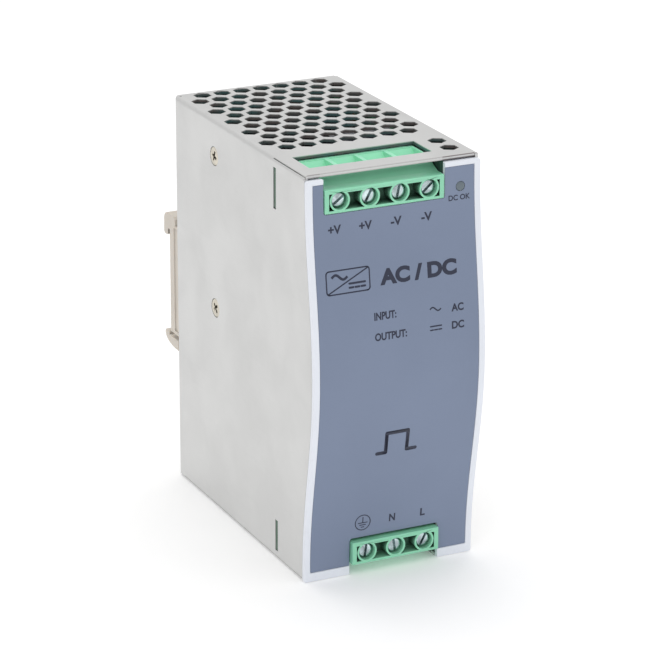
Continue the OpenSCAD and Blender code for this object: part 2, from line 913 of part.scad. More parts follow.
clip_half = 27.3;
clip_screw_x = [-20, 20];
rail_top = rail_z + rail_h / 2;
rail_low = rail_z - rail_h / 2;
seat_y = case_d + seat_d;
hook_y = case_d + clip_d;
lip_y = seat_y + 1.5;            // inner face of the lips that hold the rail
clip_z0 = rail_low + 1.3;        // lower end of the fixed clip
channel_half = 9.2;
channel_y = seat_y - 1.4;
channel_top = 74;
post_z = [53.9, 56];
post_half = 2.9;

// side outline of the fixed clip in (y, z)
module clip_outline() {
    polygon([
        [case_d, clip_z0], [seat_y, clip_z0], [seat_y, rail_top], [lip_y, rail_top],
        [lip_y, rail_top - 1.8], [lip_y + 0.7, rail_top - 2.2], [hook_y - 0.6, rail_top - 2.2],
        [hook_y, rail_top - 1.6], [hook_y, rail_top + 3], [hook_y - 0.5, rail_top + 4.2],
        [hook_y - 1.4, rail_top + 4.9], [hook_y - 2.6, rail_top + 5.1],
        [case_d + 3, rail_top + 5.1], [case_d + 2, rail_top + 4.2],
        [case_d + 1.8, rail_top + 2.2], [case_d, rail_top + 2.2]
    ]);
}

module rail_clip() {
    color("antiquewhite") in_case() {
        difference() {
            along_x(-clip_half, clip_half) clip_outline();
            // the channel that the latch slides in, open below
            box([-channel_half, case_d - 1, clip_z0 - 1], [channel_half, channel_y, channel_top]);
            for (x = clip_screw_x) {
                rod_y(3.3, x, case_d - 1, seat_y + 1, rail_z);
                rod_y(6, x, seat_y - 2.4, seat_y + 1, rail_z);
            }
        }
        // the post that holds the foot of the spring
        box([-post_half, case_d + 0.9, post_z[0]], [post_half, channel_y + 0.5, post_z[1]]);
    }
}

module clip_screws() {
    color("silver") in_case()
        for (x = clip_screw_x)
            difference() {
                union() {
                    rod_y(5.5, x, seat_y - 2.3, seat_y - 0.3, rail_z);
                    rod_y(thread_d, x, case_d - 2, seat_y - 2.3, rail_z);
                }
                for (turn = [35, 125])
                    translate([x, seat_y, rail_z]) rotate([0, turn, 0])
                        box([-1.6, -1.5, -0.35], [1.6, 1, 0.35]);
            }
}

tongue_half = channel_half - 0.4;
tongue_y = [case_d + 0.6, channel_y - 0.3];
tongue_top = 70;
window_half = post_half + 0.5;
window_z = [post_z[0] - 0.4, 67.5];
nose_top = rail_low - 0.2;

// side outline of the latch's nose in (y, z): a ramp that the rail can ride over
module latch_outline() {
    ramp = [
        for (a = [0:10:90])
        [case_d + 1.5 + 9 * cos(a), nose_top - 3.3 * sin(a)]
    ];
    polygon(concat(
        [[case_d + 0.3, nose_top], [lip_y, nose_top], [lip_y, nose_top + 0.8],
         [lip_y + 0.5, nose_top + 1.2], [hook_y - 0.6, nose_top + 1.2],
         [hook_y, nose_top + 0.6]],
        ramp,
        [[case_d + 0.3, nose_top - 3.3]]
    ));
}

module rail_latch() {
    color("antiquewhite") in_case() difference() {
        union() {
            along_x(-clip_half, clip_half) latch_outline();
            box([-tongue_half, tongue_y[0], nose_top - 1], [tongue_half, tongue_y[1], tongue_top]);
        }
        box([-window_half, case_d, window_z[0]], [window_half, seat_y, window_z[1]]);
        // slot for the screwdriver that pulls the latch down
        box([-3, case_d + 2.5, nose_top - 5], [3, case_d + 4.5, nose_top - 1.2]);
    }
}

spring_r = 1.35;
spring_wire = 0.5;
spring_turns = 7;
spring_steps = 12;
spring_sides = 6;
spring_y = (tongue_y[0] + tongue_y[1]) / 2;

// a coil of round wire, swept along a helix between the post and the window's top
module latch_spring() {
    end_gap = 0.02;
    z0 = post_z[1] + end_gap + spring_wire / 2;
    rise = window_z[1] - post_z[1] - spring_wire - 2 * end_gap;
    rings = spring_turns * spring_steps;
    points = [
        for (i = [0:rings])
        let (a = 360 * i / spring_steps)
        for (j = [0:spring_sides - 1])
        let (
            b = 360 * j / spring_sides,
            r = spring_r + spring_wire / 2 * cos(b)
        )
        [r * cos(a), r * sin(a), rise * i / rings + spring_wire / 2 * sin(b)]
    ];
    sides = [
        for (i = [0:rings - 1])
        for (j = [0:spring_sides - 1])
        let (
            k = (j + 1) % spring_sides,
            low = i * spring_sides,
            high = low + spring_sides
        )
        [low + j, high + j, high + k, low + k]
    ];
    first = [for (j = [0:spring_sides - 1]) j];
    last = [for (j = [spring_sides - 1:-1:0]) rings * spring_sides + j];
    color("silver") in_case() translate([0, spring_y, z0])
        polyhedron(points, concat([first], sides, [last]));
}

// ---------------------------------------------------------------- nodes

chassis();
side_cover();
front_bezel();
front_label();
ok_lens();
side_screws();
cover_screws();
clip_screws();
insulation_sheet();
rail_clip();
rail_latch();
latch_spring();
output_terminal();
input_terminal();
for (i = [1:output_poles]) {
    output_screw(i);
    output_cage(i);
}
for (i = [1:input_poles]) {
    input_screw(i);
    input_cage(i);
}
output_contacts();
input_contacts();
output_board();
input_board();
main_board();
board_spacers();
board_screws();
fuse();
varistor();
inrush_thermistor();
x_capacitors();
y_capacitors();
choke_core();
choke_windings();
bridge_rectifier();
bulk_capacitors();
primary_heatsink();
power_transistor();
transformer_core();
transformer_bobbin();
transformer_winding();
secondary_heatsink();
output_diode();
inductor_core();
inductor_winding();
output_capacitors();
optocouplers();
control_chip();
trimmer_body();
trimmer_rotor();
status_led();
device_screws();
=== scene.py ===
"""Looks for the rail-mounted power supply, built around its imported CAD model.

Sizes here are in millimetres and are turned into metres as each mesh is made. "y" in a comment
is counted from the front edge of the sheet-metal case, as in the CAD source; FRONT moves it into
the model's frame (+Z up, the bowed front towards -Y, the mounting rail towards +Y).
"""
import json
import math

import bmesh
import bpy
from mathutils import Matrix, Quaternion, Vector

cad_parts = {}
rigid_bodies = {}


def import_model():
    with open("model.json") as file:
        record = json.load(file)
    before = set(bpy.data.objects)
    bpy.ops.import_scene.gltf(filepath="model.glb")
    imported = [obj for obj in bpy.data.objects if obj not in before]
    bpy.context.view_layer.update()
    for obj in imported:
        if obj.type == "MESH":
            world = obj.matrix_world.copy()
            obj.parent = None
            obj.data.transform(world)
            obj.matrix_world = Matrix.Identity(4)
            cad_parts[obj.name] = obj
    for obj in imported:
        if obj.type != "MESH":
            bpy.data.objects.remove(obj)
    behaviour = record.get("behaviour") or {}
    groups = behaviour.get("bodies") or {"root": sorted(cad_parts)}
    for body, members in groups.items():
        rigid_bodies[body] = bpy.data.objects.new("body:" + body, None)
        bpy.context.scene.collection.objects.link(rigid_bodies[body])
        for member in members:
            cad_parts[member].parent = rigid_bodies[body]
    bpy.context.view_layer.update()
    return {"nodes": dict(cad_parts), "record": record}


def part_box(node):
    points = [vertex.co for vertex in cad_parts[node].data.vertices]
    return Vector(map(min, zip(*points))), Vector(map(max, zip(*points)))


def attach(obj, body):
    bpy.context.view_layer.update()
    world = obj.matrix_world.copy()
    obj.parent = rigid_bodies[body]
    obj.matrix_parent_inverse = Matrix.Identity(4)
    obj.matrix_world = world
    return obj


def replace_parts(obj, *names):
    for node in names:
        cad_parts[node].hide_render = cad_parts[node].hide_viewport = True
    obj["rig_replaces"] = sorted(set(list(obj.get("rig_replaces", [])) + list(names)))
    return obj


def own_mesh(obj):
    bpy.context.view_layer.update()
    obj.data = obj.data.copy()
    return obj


for old in list(bpy.data.objects):
    bpy.data.objects.remove(old)

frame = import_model()

MM = 0.001
CASE_D = 92.5                                    # depth of the sheet metal
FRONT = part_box("chassis")[1].y / MM - CASE_D     # frame Y of the sheet's front edge
CASE_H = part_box("chassis")[1].z / MM
HALF_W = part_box("side_cover")[1].x / MM
SHEET_T = 1.0
FOLD_R = 1.6                                     # outer radius of the sheet's folds


def screw_centre(node):
    """(x, z) of a screw's axis."""
    low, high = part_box(node)
    return (low.x + high.x) / 2 / MM, (low.z + high.z) / 2 / MM


OUT_SCREW_Z = screw_centre("output_screw_1")[1]
IN_SCREW_Z = screw_centre("input_screw_1")[1]


# ------------------------------------------------------------------ materials

def srgb(r, g, b):
    """Linear colour of an 8-bit sRGB one."""
    def linear(c):
        c /= 255
        return c / 12.92 if c <= 0.04045 else ((c + 0.055) / 1.055) ** 2.4
    return (linear(r), linear(g), linear(b), 1.0)


def shade(colour, k):
    return tuple(min(c * k, 1.0) for c in colour[:3]) + (1.0,)


class Look:
    """One procedural material: a Principled shader and the nodes that vary it."""

    def __init__(self, name, rough, metal=0.0, **fixed):
        self.material = bpy.data.materials.new(name)
        self.material.use_nodes = True
        self.tree = self.material.node_tree
        self.shader = self.tree.nodes["Principled BSDF"]
        self.shader.inputs["Metallic"].default_value = metal
        self.shader.inputs["Roughness"].default_value = rough
        for socket, value in fixed.items():
            self.shader.inputs[socket.replace("_", " ")].default_value = value
        self.rough = rough
        self.place = self.node("ShaderNodeTexCoord").outputs["Object"]

    def node(self, kind, *inputs, **props):
        made = self.tree.nodes.new(kind)
        for key, value in props.items():
            setattr(made, key, value)
        for socket, value in inputs:
            self.put(made.inputs[socket], value)
        return made

    def put(self, socket, value):
        if isinstance(value, bpy.types.NodeSocket):
            self.tree.links.new(value, socket)
        else:
            socket.default_value = value

    def stretched(self, stretch):
        return self.node("ShaderNodeMapping", ("Vector", self.place),
                         ("Scale", stretch)).outputs["Vector"]

    def noise(self, scale, detail=3.0, stretch=(1, 1, 1), distortion=0.0):
        made = self.node("ShaderNodeTexNoise", ("Vector", self.stretched(stretch)),
                         ("Scale", scale), ("Detail", detail), ("Distortion", distortion))
        return made.outputs["Fac"]

    def span(self, value, low, high, to_low=0.0, to_high=1.0):
        made = self.node("ShaderNodeMapRange", ("Value", value), ("From Min", low),
                         ("From Max", high), ("To Min", to_low), ("To Max", to_high))
        return made.outputs["Result"]

    def math(self, operation, a, b):
        made = self.node("ShaderNodeMath", (0, a), (1, b), operation=operation)
        return made.outputs["Value"]

    def mix(self, share, a, b):
        made = self.node("ShaderNodeMix", data_type="RGBA")
        for socket, value in (("Factor_Float", share), ("A_Color", a), ("B_Color", b)):
            found = next(s for s in made.inputs if s.identifier == socket)
            self.put(found, value)
        return next(s for s in made.outputs if s.identifier == "Result_Color")

    def edges(self, radius):
        """1 where the surface turns a corner within the radius, 0 on flat stretches."""
        bevel = self.node("ShaderNodeBevel", ("Radius", radius), samples=6)
        true = self.node("ShaderNodeNewGeometry").outputs["Normal"]
        made = self.node("ShaderNodeVectorMath", (0, bevel.outputs["Normal"]), (1, true),
                         operation="DOT_PRODUCT")
        return self.span(made.outputs["Value"], 0.98, 0.80)

    def shut_in(self, reach):
        """1 deep in a recess narrower than the reach, 0 out in the open."""
        made = self.node("ShaderNodeAmbientOcclusion", ("Distance", reach), samples=8,
                         only_local=True)
        return self.span(made.outputs["AO"], 0.85, 0.30)

    def colour(self, value):
        self.put(self.shader.inputs["Base Color"], value)

    def roughness(self, value, spread):
        """Roughness that a noise moves about the material's own by the spread."""
        self.put(self.shader.inputs["Roughness"],
                 self.span(value, 0.35, 0.65, self.rough - spread, self.rough + spread))

    def bump(self, height, strength, distance, normal=None):
        made = self.node("ShaderNodeBump", ("Height", height), ("Strength", strength),
                         ("Distance", distance))
        if normal is not None:
            self.put(made.inputs["Normal"], normal)
        self.put(self.shader.inputs["Normal"], made.outputs["Normal"])
        return made.outputs["Normal"]


def moulded(name, colour, rough, grain=1800, depth=0.25, mottle=0.05, wear=0.0, recess=0.0,
            reach=0.003, heights=(-1, 1), painted_top_light=0.0, **fixed):
    """Moulded plastic: fine tool texture, slow colour drift, paler rubbed edges, painted shade deep in
    recesses between two heights, and a painted lighter band above them."""
    look = Look(name, rough, **fixed)
    drift = look.noise(70, 4)
    tone = look.mix(look.span(drift, 0.3, 0.7), shade(colour, 1 - mottle), shade(colour, 1 + mottle))
    specks = look.span(look.noise(520, 2), 0.62, 0.78)
    tone = look.mix(look.math("MULTIPLY", specks, 0.25), tone, shade(colour, 0.82))
    if wear:
        rub = look.math("MULTIPLY", look.edges(0.0004), look.span(look.noise(260, 4), 0.35, 0.7))
        tone = look.mix(look.math("MULTIPLY", rub, wear), tone, shade(colour, 1.45))
    # painted shade: darker deep in recesses, between the two heights
    if recess:
        painted_recess_shade = look.math("MULTIPLY", look.shut_in(reach), recess)
        z = look.node("ShaderNodeSeparateXYZ", ("Vector", look.place)).outputs["Z"]
        low, high = heights
        if painted_top_light:                              # painted light: the part over the recesses is lightened
            over = look.math("MULTIPLY", look.span(z, high, high + 0.001), painted_top_light)
            tone = look.mix(over, tone, shade(colour, 1.5))
        painted_recess_shade = look.math("MULTIPLY", painted_recess_shade, look.span(z, low, low + 0.0005))
        painted_recess_shade = look.math("MULTIPLY", painted_recess_shade, look.span(z, high, high - 0.0005))
        tone = look.mix(painted_recess_shade, tone, shade(colour, 0.12))
    look.colour(tone)
    look.roughness(look.noise(140, 4), 0.07)
    coarse = look.bump(look.noise(grain * 0.3, 2), depth * 0.4, 0.00005)
    look.bump(look.noise(grain, 3), depth, 0.00003, coarse)
    return look.material


def metal(name, colour, rough, stretch=(1, 1, 1), grain=1400, depth=0.2, mottle=0.05,
          wear=0.25, recess=0.0, reach=0.001, patch=38, **fixed):
    """Plated or bare metal: rolled or brushed grain, blotches that at a high mottle are painted
    reflections, bright worn edges, and painted shade in recesses.
    """
    look = Look(name, rough, metal=1.0, **fixed)
    # blotches; at a high mottle, as on the terminal screws, they are painted reflections
    blotch_and_reflection = look.noise(patch, 5, distortion=0.4)
    tone = look.mix(look.span(blotch_and_reflection, 0.3, 0.72), shade(colour, 1 - mottle), shade(colour, 1 + mottle))
    streaks = look.noise(grain, 4, stretch)
    tone = look.mix(look.math("MULTIPLY", look.span(streaks, 0.55, 0.8), 0.18), tone, shade(colour, 0.8))
    rub = look.math("MULTIPLY", look.edges(0.0003), wear)
    tone = look.mix(rub, tone, shade(colour, 1.3))
    # painted shade: darker deep in recesses such as screw slots and cross recesses
    if recess:
        painted_recess_shade = look.math("MULTIPLY", look.shut_in(reach), recess)
        tone = look.mix(painted_recess_shade, tone, shade(colour, 0.10))
    look.colour(tone)
    look.roughness(look.math("ADD", look.math("MULTIPLY", streaks, 0.6),
                             look.math("MULTIPLY", look.noise(90, 5), 0.4)), 0.09)
    look.bump(streaks, depth, 0.00002)
    return look.material


def edge_and_inner_shade(look):
    """Masks of painted shade on the folded case: thin dark lines along the top wall's front edge, and
    everything behind its outer faces, where the vents' cut walls and the inside get a dark painted
    shade."""
    axes = look.node("ShaderNodeSeparateXYZ", ("Vector", look.place)).outputs
    x = axes["X"]
    beside = look.math("SUBTRACT", HALF_W * MM, look.math("ABSOLUTE", x, 0.0))
    behind = look.math("SUBTRACT", axes["Y"], FRONT * MM)
    ahead = look.math("SUBTRACT", (FRONT + CASE_D) * MM, axes["Y"])
    below = look.math("SUBTRACT", CASE_H * MM, axes["Z"])

    # the painted shade lines are darker on both sides of the output block's notch
    thin = (0.30 * MM, 0.18 * MM)
    notch_x0, notch_x1 = -22.7 * MM, 16.3 * MM
    near = look.math("ABSOLUTE", behind, 0.0)
    from_lower = look.math("ABSOLUTE", look.math("SUBTRACT", SHEET_T * MM, below), 0.0)
    upper = look.span(look.math("MAXIMUM", near, below), *thin)
    lower = look.span(look.math("MAXIMUM", near, from_lower), *thin)
    right = look.math("MULTIPLY", look.math("GREATER_THAN", x, notch_x1), 0.55)
    left = look.math("MULTIPLY", look.math("LESS_THAN", x, notch_x0), 0.25)
    edge_shade_lines = look.math("MULTIPLY", look.math("MAXIMUM", upper, lower),
                     look.math("ADD", look.math("ADD", right, left), 0.3))

    # depth under the outer faces, which meet in folds, for the painted inner shade; the edge over the
    # ledge stays bright
    fold, bright_edge = FOLD_R * MM, 3.0 * MM
    squares = 0.0
    for face in (beside, ahead, below, axes["Z"]):
        short = look.math("MAXIMUM", look.math("SUBTRACT", fold, face), 0.0)
        squares = look.math("ADD", squares, look.math("POWER", short, 2.0))
    depth = look.math("SUBTRACT", fold, look.math("SQRT", squares, 0.0))
    depth = look.math("MINIMUM", depth, look.math("SUBTRACT", behind, bright_edge))
    return edge_shade_lines, look.span(depth, 0.14 * MM, 0.36 * MM)


def sheet_metal():
    """Zinc-plated sheet: pale, satin, with a fine spangle, rolling marks and fingered patches, and
    painted shade in thin lines along the top front edge and over the whole inside.
    """
    colour = srgb(212, 212, 211)
    look = Look("case_sheet", 0.46, metal=0.55, Specular_IOR_Level=0.4)
    spangle = look.node("ShaderNodeTexVoronoi", ("Vector", look.place), ("Scale", 420.0))
    tint = look.span(spangle.outputs["Color"], 0.0, 1.0)
    tone = look.mix(look.math("MULTIPLY", tint, 0.10), colour, shade(colour, 0.86))
    patches = look.span(look.noise(24, 5, distortion=0.6), 0.35, 0.7)
    tone = look.mix(look.math("MULTIPLY", patches, 0.20), tone, shade(colour, 0.90))
    rolling = look.noise(900, 3, (1, 0.03, 1))
    marked = look.math("MULTIPLY", look.span(rolling, 0.55, 0.75), 0.10)
    tone = look.mix(marked, tone, shade(colour, 0.85))
    scratches = look.span(look.noise(160, 6, (1, 0.2, 1.6), 2.2), 0.70, 0.78)
    tone = look.mix(look.math("MULTIPLY", scratches, 0.12), tone, shade(colour, 1.12))
    rub = look.math("MULTIPLY", look.edges(0.0003), 0.35)
    tone = look.mix(rub, tone, shade(colour, 1.2))
    edge_shade_lines, inside = edge_and_inner_shade(look)
    # painted shade: thin dark lines along the top wall's front edge
    tone = look.mix(edge_shade_lines, tone, srgb(104, 90, 90))
    # painted shade, grey with a teal cast, on the inner faces and the vents' cut walls, which are also
    # made less metallic
    inner_shade = look.mix(look.span(look.noise(70, 2), 0.4, 0.6), srgb(104, 98, 96), srgb(74, 104, 104))
    tone = look.mix(inside, tone, inner_shade)
    look.colour(tone)
    look.put(look.shader.inputs["Metallic"], look.span(inside, 0, 1, 0.55, 0.1))
    look.roughness(look.noise(60, 5, distortion=0.5), 0.08)
    rough = look.bump(look.noise(2600, 2), 0.14, 0.00002)
    look.bump(rolling, 0.10, 0.00002, rough)
    return look.material


def printed_film():
    """Grey-blue polyester panel: even ink, a fine satin tooth, and faint handling marks."""
    colour = srgb(124, 136, 160)
    look = Look("label_film", 0.42, Specular_IOR_Level=0.35)
    drift = look.span(look.noise(28, 3), 0.35, 0.65)
    tone = look.mix(drift, shade(colour, 0.975), shade(colour, 1.03))
    ink = look.span(look.noise(1500, 2), 0.45, 0.8)
    tone = look.mix(look.math("MULTIPLY", ink, 0.10), tone, shade(colour, 0.84))
    rubbed = look.span(look.noise(120, 6, (1, 1, 0.5), 1.5), 0.66, 0.8)
    tone = look.mix(look.math("MULTIPLY", rubbed, 0.08), tone, shade(colour, 1.25))
    look.colour(tone)
    look.roughness(look.noise(45, 5, distortion=0.7), 0.06)
    look.bump(look.noise(2400, 2), 0.10, 0.00002)
    return look.material


def laminate():
    """Green solder mask over tracks: tracks and pads stand proud and show as a lighter green."""
    green = srgb(12, 74, 48)
    look = Look("board", 0.34, Coat_Weight=0.3)
    cells = look.node("ShaderNodeTexBrick", ("Vector", look.stretched((1, 1, 1))), ("Scale", 190.0),
                      ("Mortar Size", 0.012), ("Mortar Smooth", 0.1), ("Bias", 0.0),
                      offset=0.37, squash=0.7)
    tracks = cells.outputs["Fac"]
    pads = look.node("ShaderNodeTexVoronoi", ("Vector", look.place), ("Scale", 230.0),
                     ("Randomness", 0.4))
    pad = look.span(pads.outputs["Distance"], 0.22, 0.18)
    tone = look.mix(look.span(look.noise(60, 3), 0.3, 0.7), shade(green, 0.85), shade(green, 1.15))
    tone = look.mix(tracks, tone, srgb(30, 112, 74))
    tone = look.mix(look.math("MULTIPLY", pad, 0.7), tone, srgb(168, 166, 150))
    look.colour(tone)
    look.roughness(look.noise(200, 3), 0.06)
    look.bump(look.math("ADD", tracks, pad), 0.25, 0.00006)
    return look.material


def wound(name, colour, stretch, pitch, rough=0.32, metal_share=0.6):
    """Enamelled wire laid side by side: ridges at the wire's pitch across the winding."""
    look = Look(name, rough, metal=metal_share, Coat_Weight=0.5)
    wave = look.node("ShaderNodeTexWave", ("Vector", look.stretched(stretch)), ("Scale", pitch),
                     ("Distortion", 0.6), ("Detail", 1.0), wave_type="BANDS", bands_direction="Z")
    fibre = look.noise(400, 3)
    # darker between the ridges: painted shade in the grooves between turns
    tone = look.mix(look.span(wave.outputs["Fac"], 0.0, 0.7), shade(colour, 0.35), colour)
    tone = look.mix(look.math("MULTIPLY", fibre, 0.25), tone, shade(colour, 0.7))
    look.colour(tone)
    look.roughness(fibre, 0.08)
    look.bump(wave.outputs["Fac"], 0.8, 0.0002)
    return look.material


def sleeved():
    """Shrink sleeve on a capacitor: dark glossy film with a pale stripe and end wrinkles."""
    dark = srgb(26, 34, 54)
    look = Look("capacitor_sleeve", 0.28, Coat_Weight=0.3)
    stripe = look.node("ShaderNodeTexWave", ("Vector", look.place), ("Scale", 13.0),
                       wave_type="BANDS", bands_direction="Y")
    line = look.span(stripe.outputs["Fac"], 0.93, 0.96)
    tone = look.mix(look.span(look.noise(90, 3), 0.3, 0.7), shade(dark, 0.8), shade(dark, 1.25))
    tone = look.mix(look.math("MULTIPLY", line, 0.75), tone, srgb(150, 156, 168))
    look.colour(tone)
    look.roughness(look.noise(220, 3), 0.07)
    look.bump(look.noise(500, 2, (0.2, 1, 1)), 0.2, 0.00006)
    return look.material


def make_looks():
    pale = srgb(231, 235, 243)
    wells = ((IN_SCREW_Z - 3.0) * MM, (OUT_SCREW_Z + 3.1) * MM)
    looks = {
        "case_sheet": sheet_metal(),
        "bezel_plastic": moulded("bezel_plastic", pale, 0.40, 1700, 0.16, 0.02, 0.10),
        "label_film": printed_film(),
        "lens_plastic": moulded("lens_plastic", srgb(104, 116, 124), 0.18, 900, 0.05, 0.12),
        # painted shade in the screw wells, and painted light on the part above them
        "terminal_plastic": moulded("terminal_plastic", srgb(144, 214, 180), 0.36, 1300, 0.18,
                                    0.05, 0.22, 1.0, 0.004, wells, 0.5,
                                    Subsurface_Weight=0.12, Subsurface_Radius=(0.4, 1.0, 0.6),
                                    Subsurface_Scale=0.001),
        # terminal screws: strong small blotches are painted reflections of the green wells, with painted
        # shade in the slots
        "screw_zinc": metal("screw_zinc", srgb(190, 206, 208), 0.22, (1, 1, 1), 1600, 0.4, 0.50,
                            0.5, 0.6, 0.001, 430),
        # painted shade in the cross recesses
        "screw_dull": metal("screw_dull", srgb(208, 202, 188), 0.34, (1, 1, 1), 900, 0.3, 0.16,
                            0.5, 1.0, 0.0015, 300),
        "cage_metal": metal("cage_metal", srgb(196, 194, 184), 0.30, (1, 1, 0.1), 1200, 0.2),
        "contact_metal": metal("contact_metal", srgb(206, 186, 130), 0.30, (0.1, 1, 1), 1200, 0.2),
        # painted shade in its recesses
        "clip_nylon": moulded("clip_nylon", srgb(208, 200, 189), 0.48, 1100, 0.22, 0.05, 0.15,
                              0.7, 0.003, Subsurface_Weight=0.2,
                              Subsurface_Radius=(1.0, 0.8, 0.6), Subsurface_Scale=0.001),
        "spring_steel": metal("spring_steel", srgb(172, 174, 176), 0.26, (1, 1, 1), 1800, 0.2),
        "board": laminate(),
        "insulation": moulded("insulation", srgb(226, 222, 205), 0.35, 700, 0.1, 0.04),
        "fuse_body": moulded("fuse_body", srgb(226, 222, 212), 0.22, 900, 0.08, 0.06),
        "varistor_coat": moulded("varistor_coat", srgb(40, 84, 168), 0.24, 420, 0.5, 0.10),
        "thermistor_coat": moulded("thermistor_coat", srgb(56, 76, 44), 0.5, 420, 0.6, 0.12),
        "film_box": moulded("film_box", srgb(226, 190, 70), 0.26, 900, 0.1, 0.05),
        "disc_coat": moulded("disc_coat", srgb(48, 104, 176), 0.26, 420, 0.5, 0.10),
        "ferrite": moulded("ferrite", srgb(58, 58, 62), 0.55, 900, 0.5, 0.15),
        "copper_wire": wound("copper_wire", srgb(212, 124, 66), (1, 1, 1), 420),
        "epoxy_black": moulded("epoxy_black", srgb(38, 38, 41), 0.42, 1300, 0.3, 0.10, 0.1),
        "capacitor_sleeve": sleeved(),
        "heatsink": metal("heatsink", srgb(208, 210, 214), 0.34, (0.04, 1, 1), 1100, 0.35),
        "bobbin_plastic": moulded("bobbin_plastic", srgb(40, 40, 40), 0.36, 1100, 0.2, 0.10),
        "winding_tape": wound("winding_tape", srgb(228, 196, 70), (1, 1, 1), 60, 0.22, 0.0),
        "toroid_coat": moulded("toroid_coat", srgb(216, 206, 110), 0.36, 420, 0.4, 0.08),
        "chip_white": moulded("chip_white", srgb(218, 218, 214), 0.36, 1200, 0.2, 0.05),
        "trimmer_blue": moulded("trimmer_blue", srgb(44, 96, 186), 0.30, 1200, 0.15, 0.06),
        "led_body": moulded("led_body", srgb(126, 200, 140), 0.16, 600, 0.05, 0.05,
                            Transmission_Weight=0.35),
        "ink": moulded("ink", srgb(34, 40, 62), 0.42, 2000, 0.1, 0.05),
        # dark green of the sheets beside the blocks: painted shade of the cavity
        "shroud": moulded("shroud", srgb(48, 76, 66), 0.5, 900, 0.3, 0.2),
    }
    return looks


LOOKS = make_looks()


# ------------------------------------------------------------------ mesh helpers

def point(x, y, z):
    """Millimetres, with y from the sheet's front edge, to metres in the model's frame."""
    return Vector((x, y + FRONT, z)) * MM


def finish_mesh(name, bm, body, slot, replaces=(), bevel=0.0, segments=2, angle=32, look=None):
    """Turns a bmesh in local millimetres into a shaded piece that rides on a body."""
    bmesh.ops.remove_doubles(bm, verts=bm.verts, dist=1e-4)
    bmesh.ops.recalc_face_normals(bm, faces=bm.faces)
    for v in bm.verts:
        v.co = point(*v.co)
    mesh = bpy.data.meshes.new(name)
    bm.to_mesh(mesh)
    bm.free()
    mesh.polygons.foreach_set("use_smooth", [True] * len(mesh.polygons))
    mesh.set_sharp_from_angle(angle=math.radians(angle))
    piece = bpy.data.objects.new(name, mesh)
    bpy.context.scene.collection.objects.link(piece)
    mesh.materials.append(LOOKS[look or slot])
    if bevel:
        add_bevel(piece, bevel, segments, angle)
    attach(piece, body)
    if replaces:
        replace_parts(piece, *replaces)
    return piece


def add_bevel(piece, width, segments=2, angle=32):
    made = piece.modifiers.new("round_edges", "BEVEL")
    made.width = width * MM
    made.segments = segments
    made.limit_method = "ANGLE"
    made.angle_limit = math.radians(angle)
    made.use_clamp_overlap = True
    made.harden_normals = True
    made.miter_outer = "MITER_ARC"


def arc_corners(corners, steps=6):
    """Outline with each (x, z, radius) corner rounded by an arc."""
    out = []
    for i, (x, z, r) in enumerate(corners):
        p = Vector((x, z))
        u = (Vector(corners[i - 1][:2]) - p).normalized()
        v = (Vector(corners[(i + 1) % len(corners)][:2]) - p).normalized()
        if r <= 0:
            out.append((x, z))
            continue
        half = u.angle(v) / 2
        middle = p + (u + v).normalized() * (r / math.sin(half))
        start = p + u * (r / math.tan(half)) - middle
        end = p + v * (r / math.tan(half)) - middle
        turn = start.angle_signed(end)
        for k in range(steps + 1):
            at = Vector(start)
            at.rotate(Matrix.Rotation(-turn * k / steps, 2))
            out.append(tuple(middle + at))
    return out


def circle(x, z, r, steps=40):
    return [(x + r * math.cos(2 * math.pi * k / steps), z + r * math.sin(2 * math.pi * k / steps))
            for k in range(steps)]


def prism(outline, y0, y1, holes=()):
    """Solid between the planes y0 and y1 with an outline, and holes, in (x, z)."""
    bm = bmesh.new()
    for loop in [outline, *holes]:
        ring = [bm.verts.new((x, y0, z)) for x, z in loop]
        for a, b in zip(ring, ring[1:] + ring[:1]):
            bm.edges.new((a, b))
    bmesh.ops.triangle_fill(bm, use_beauty=True, use_dissolve=False, edges=bm.edges[:])
    made = bmesh.ops.extrude_face_region(bm, geom=bm.faces[:])
    for v in (g for g in made["geom"] if isinstance(g, bmesh.types.BMVert)):
        v.co.y = y1
    bmesh.ops.recalc_face_normals(bm, faces=bm.faces)
    return bm


def turned(profile, steps=48, at=(0, 0, 0)):
    """Solid of revolution along y. The profile is (distance along the axis, radius) pairs."""
    bm = bmesh.new()
    rings = []
    for along, r in profile:
        if r < 1e-6:
            rings.append([bm.verts.new((0, along, 0))])
            continue
        rings.append([bm.verts.new((r * math.cos(a), along, r * math.sin(a)))
                      for a in (2 * math.pi * k / steps for k in range(steps))])
    for low, high in zip(rings, rings[1:]):
        for k in range(steps):
            n = (k + 1) % steps
            quad = [low[k % len(low)], low[n % len(low)], high[n % len(high)], high[k % len(high)]]
            corners = list(dict.fromkeys(quad))
            if len(corners) > 2:
                bm.faces.new(corners)
    for ring in (rings[0], rings[-1]):
        if len(ring) > 1:
            bm.faces.new(ring)
    for v in bm.verts:
        v.co += Vector(at)
    bmesh.ops.recalc_face_normals(bm, faces=bm.faces)
    return bm


def block(low, high):
    """Box between two corners."""
    bm = bmesh.new()
    bmesh.ops.create_cube(bm, size=1)
    size = Vector(high) - Vector(low)
    for v in bm.verts:
        v.co = Vector([lo + (c + 0.5) * s for lo, c, s in zip(low, v.co, size)])
    return bm


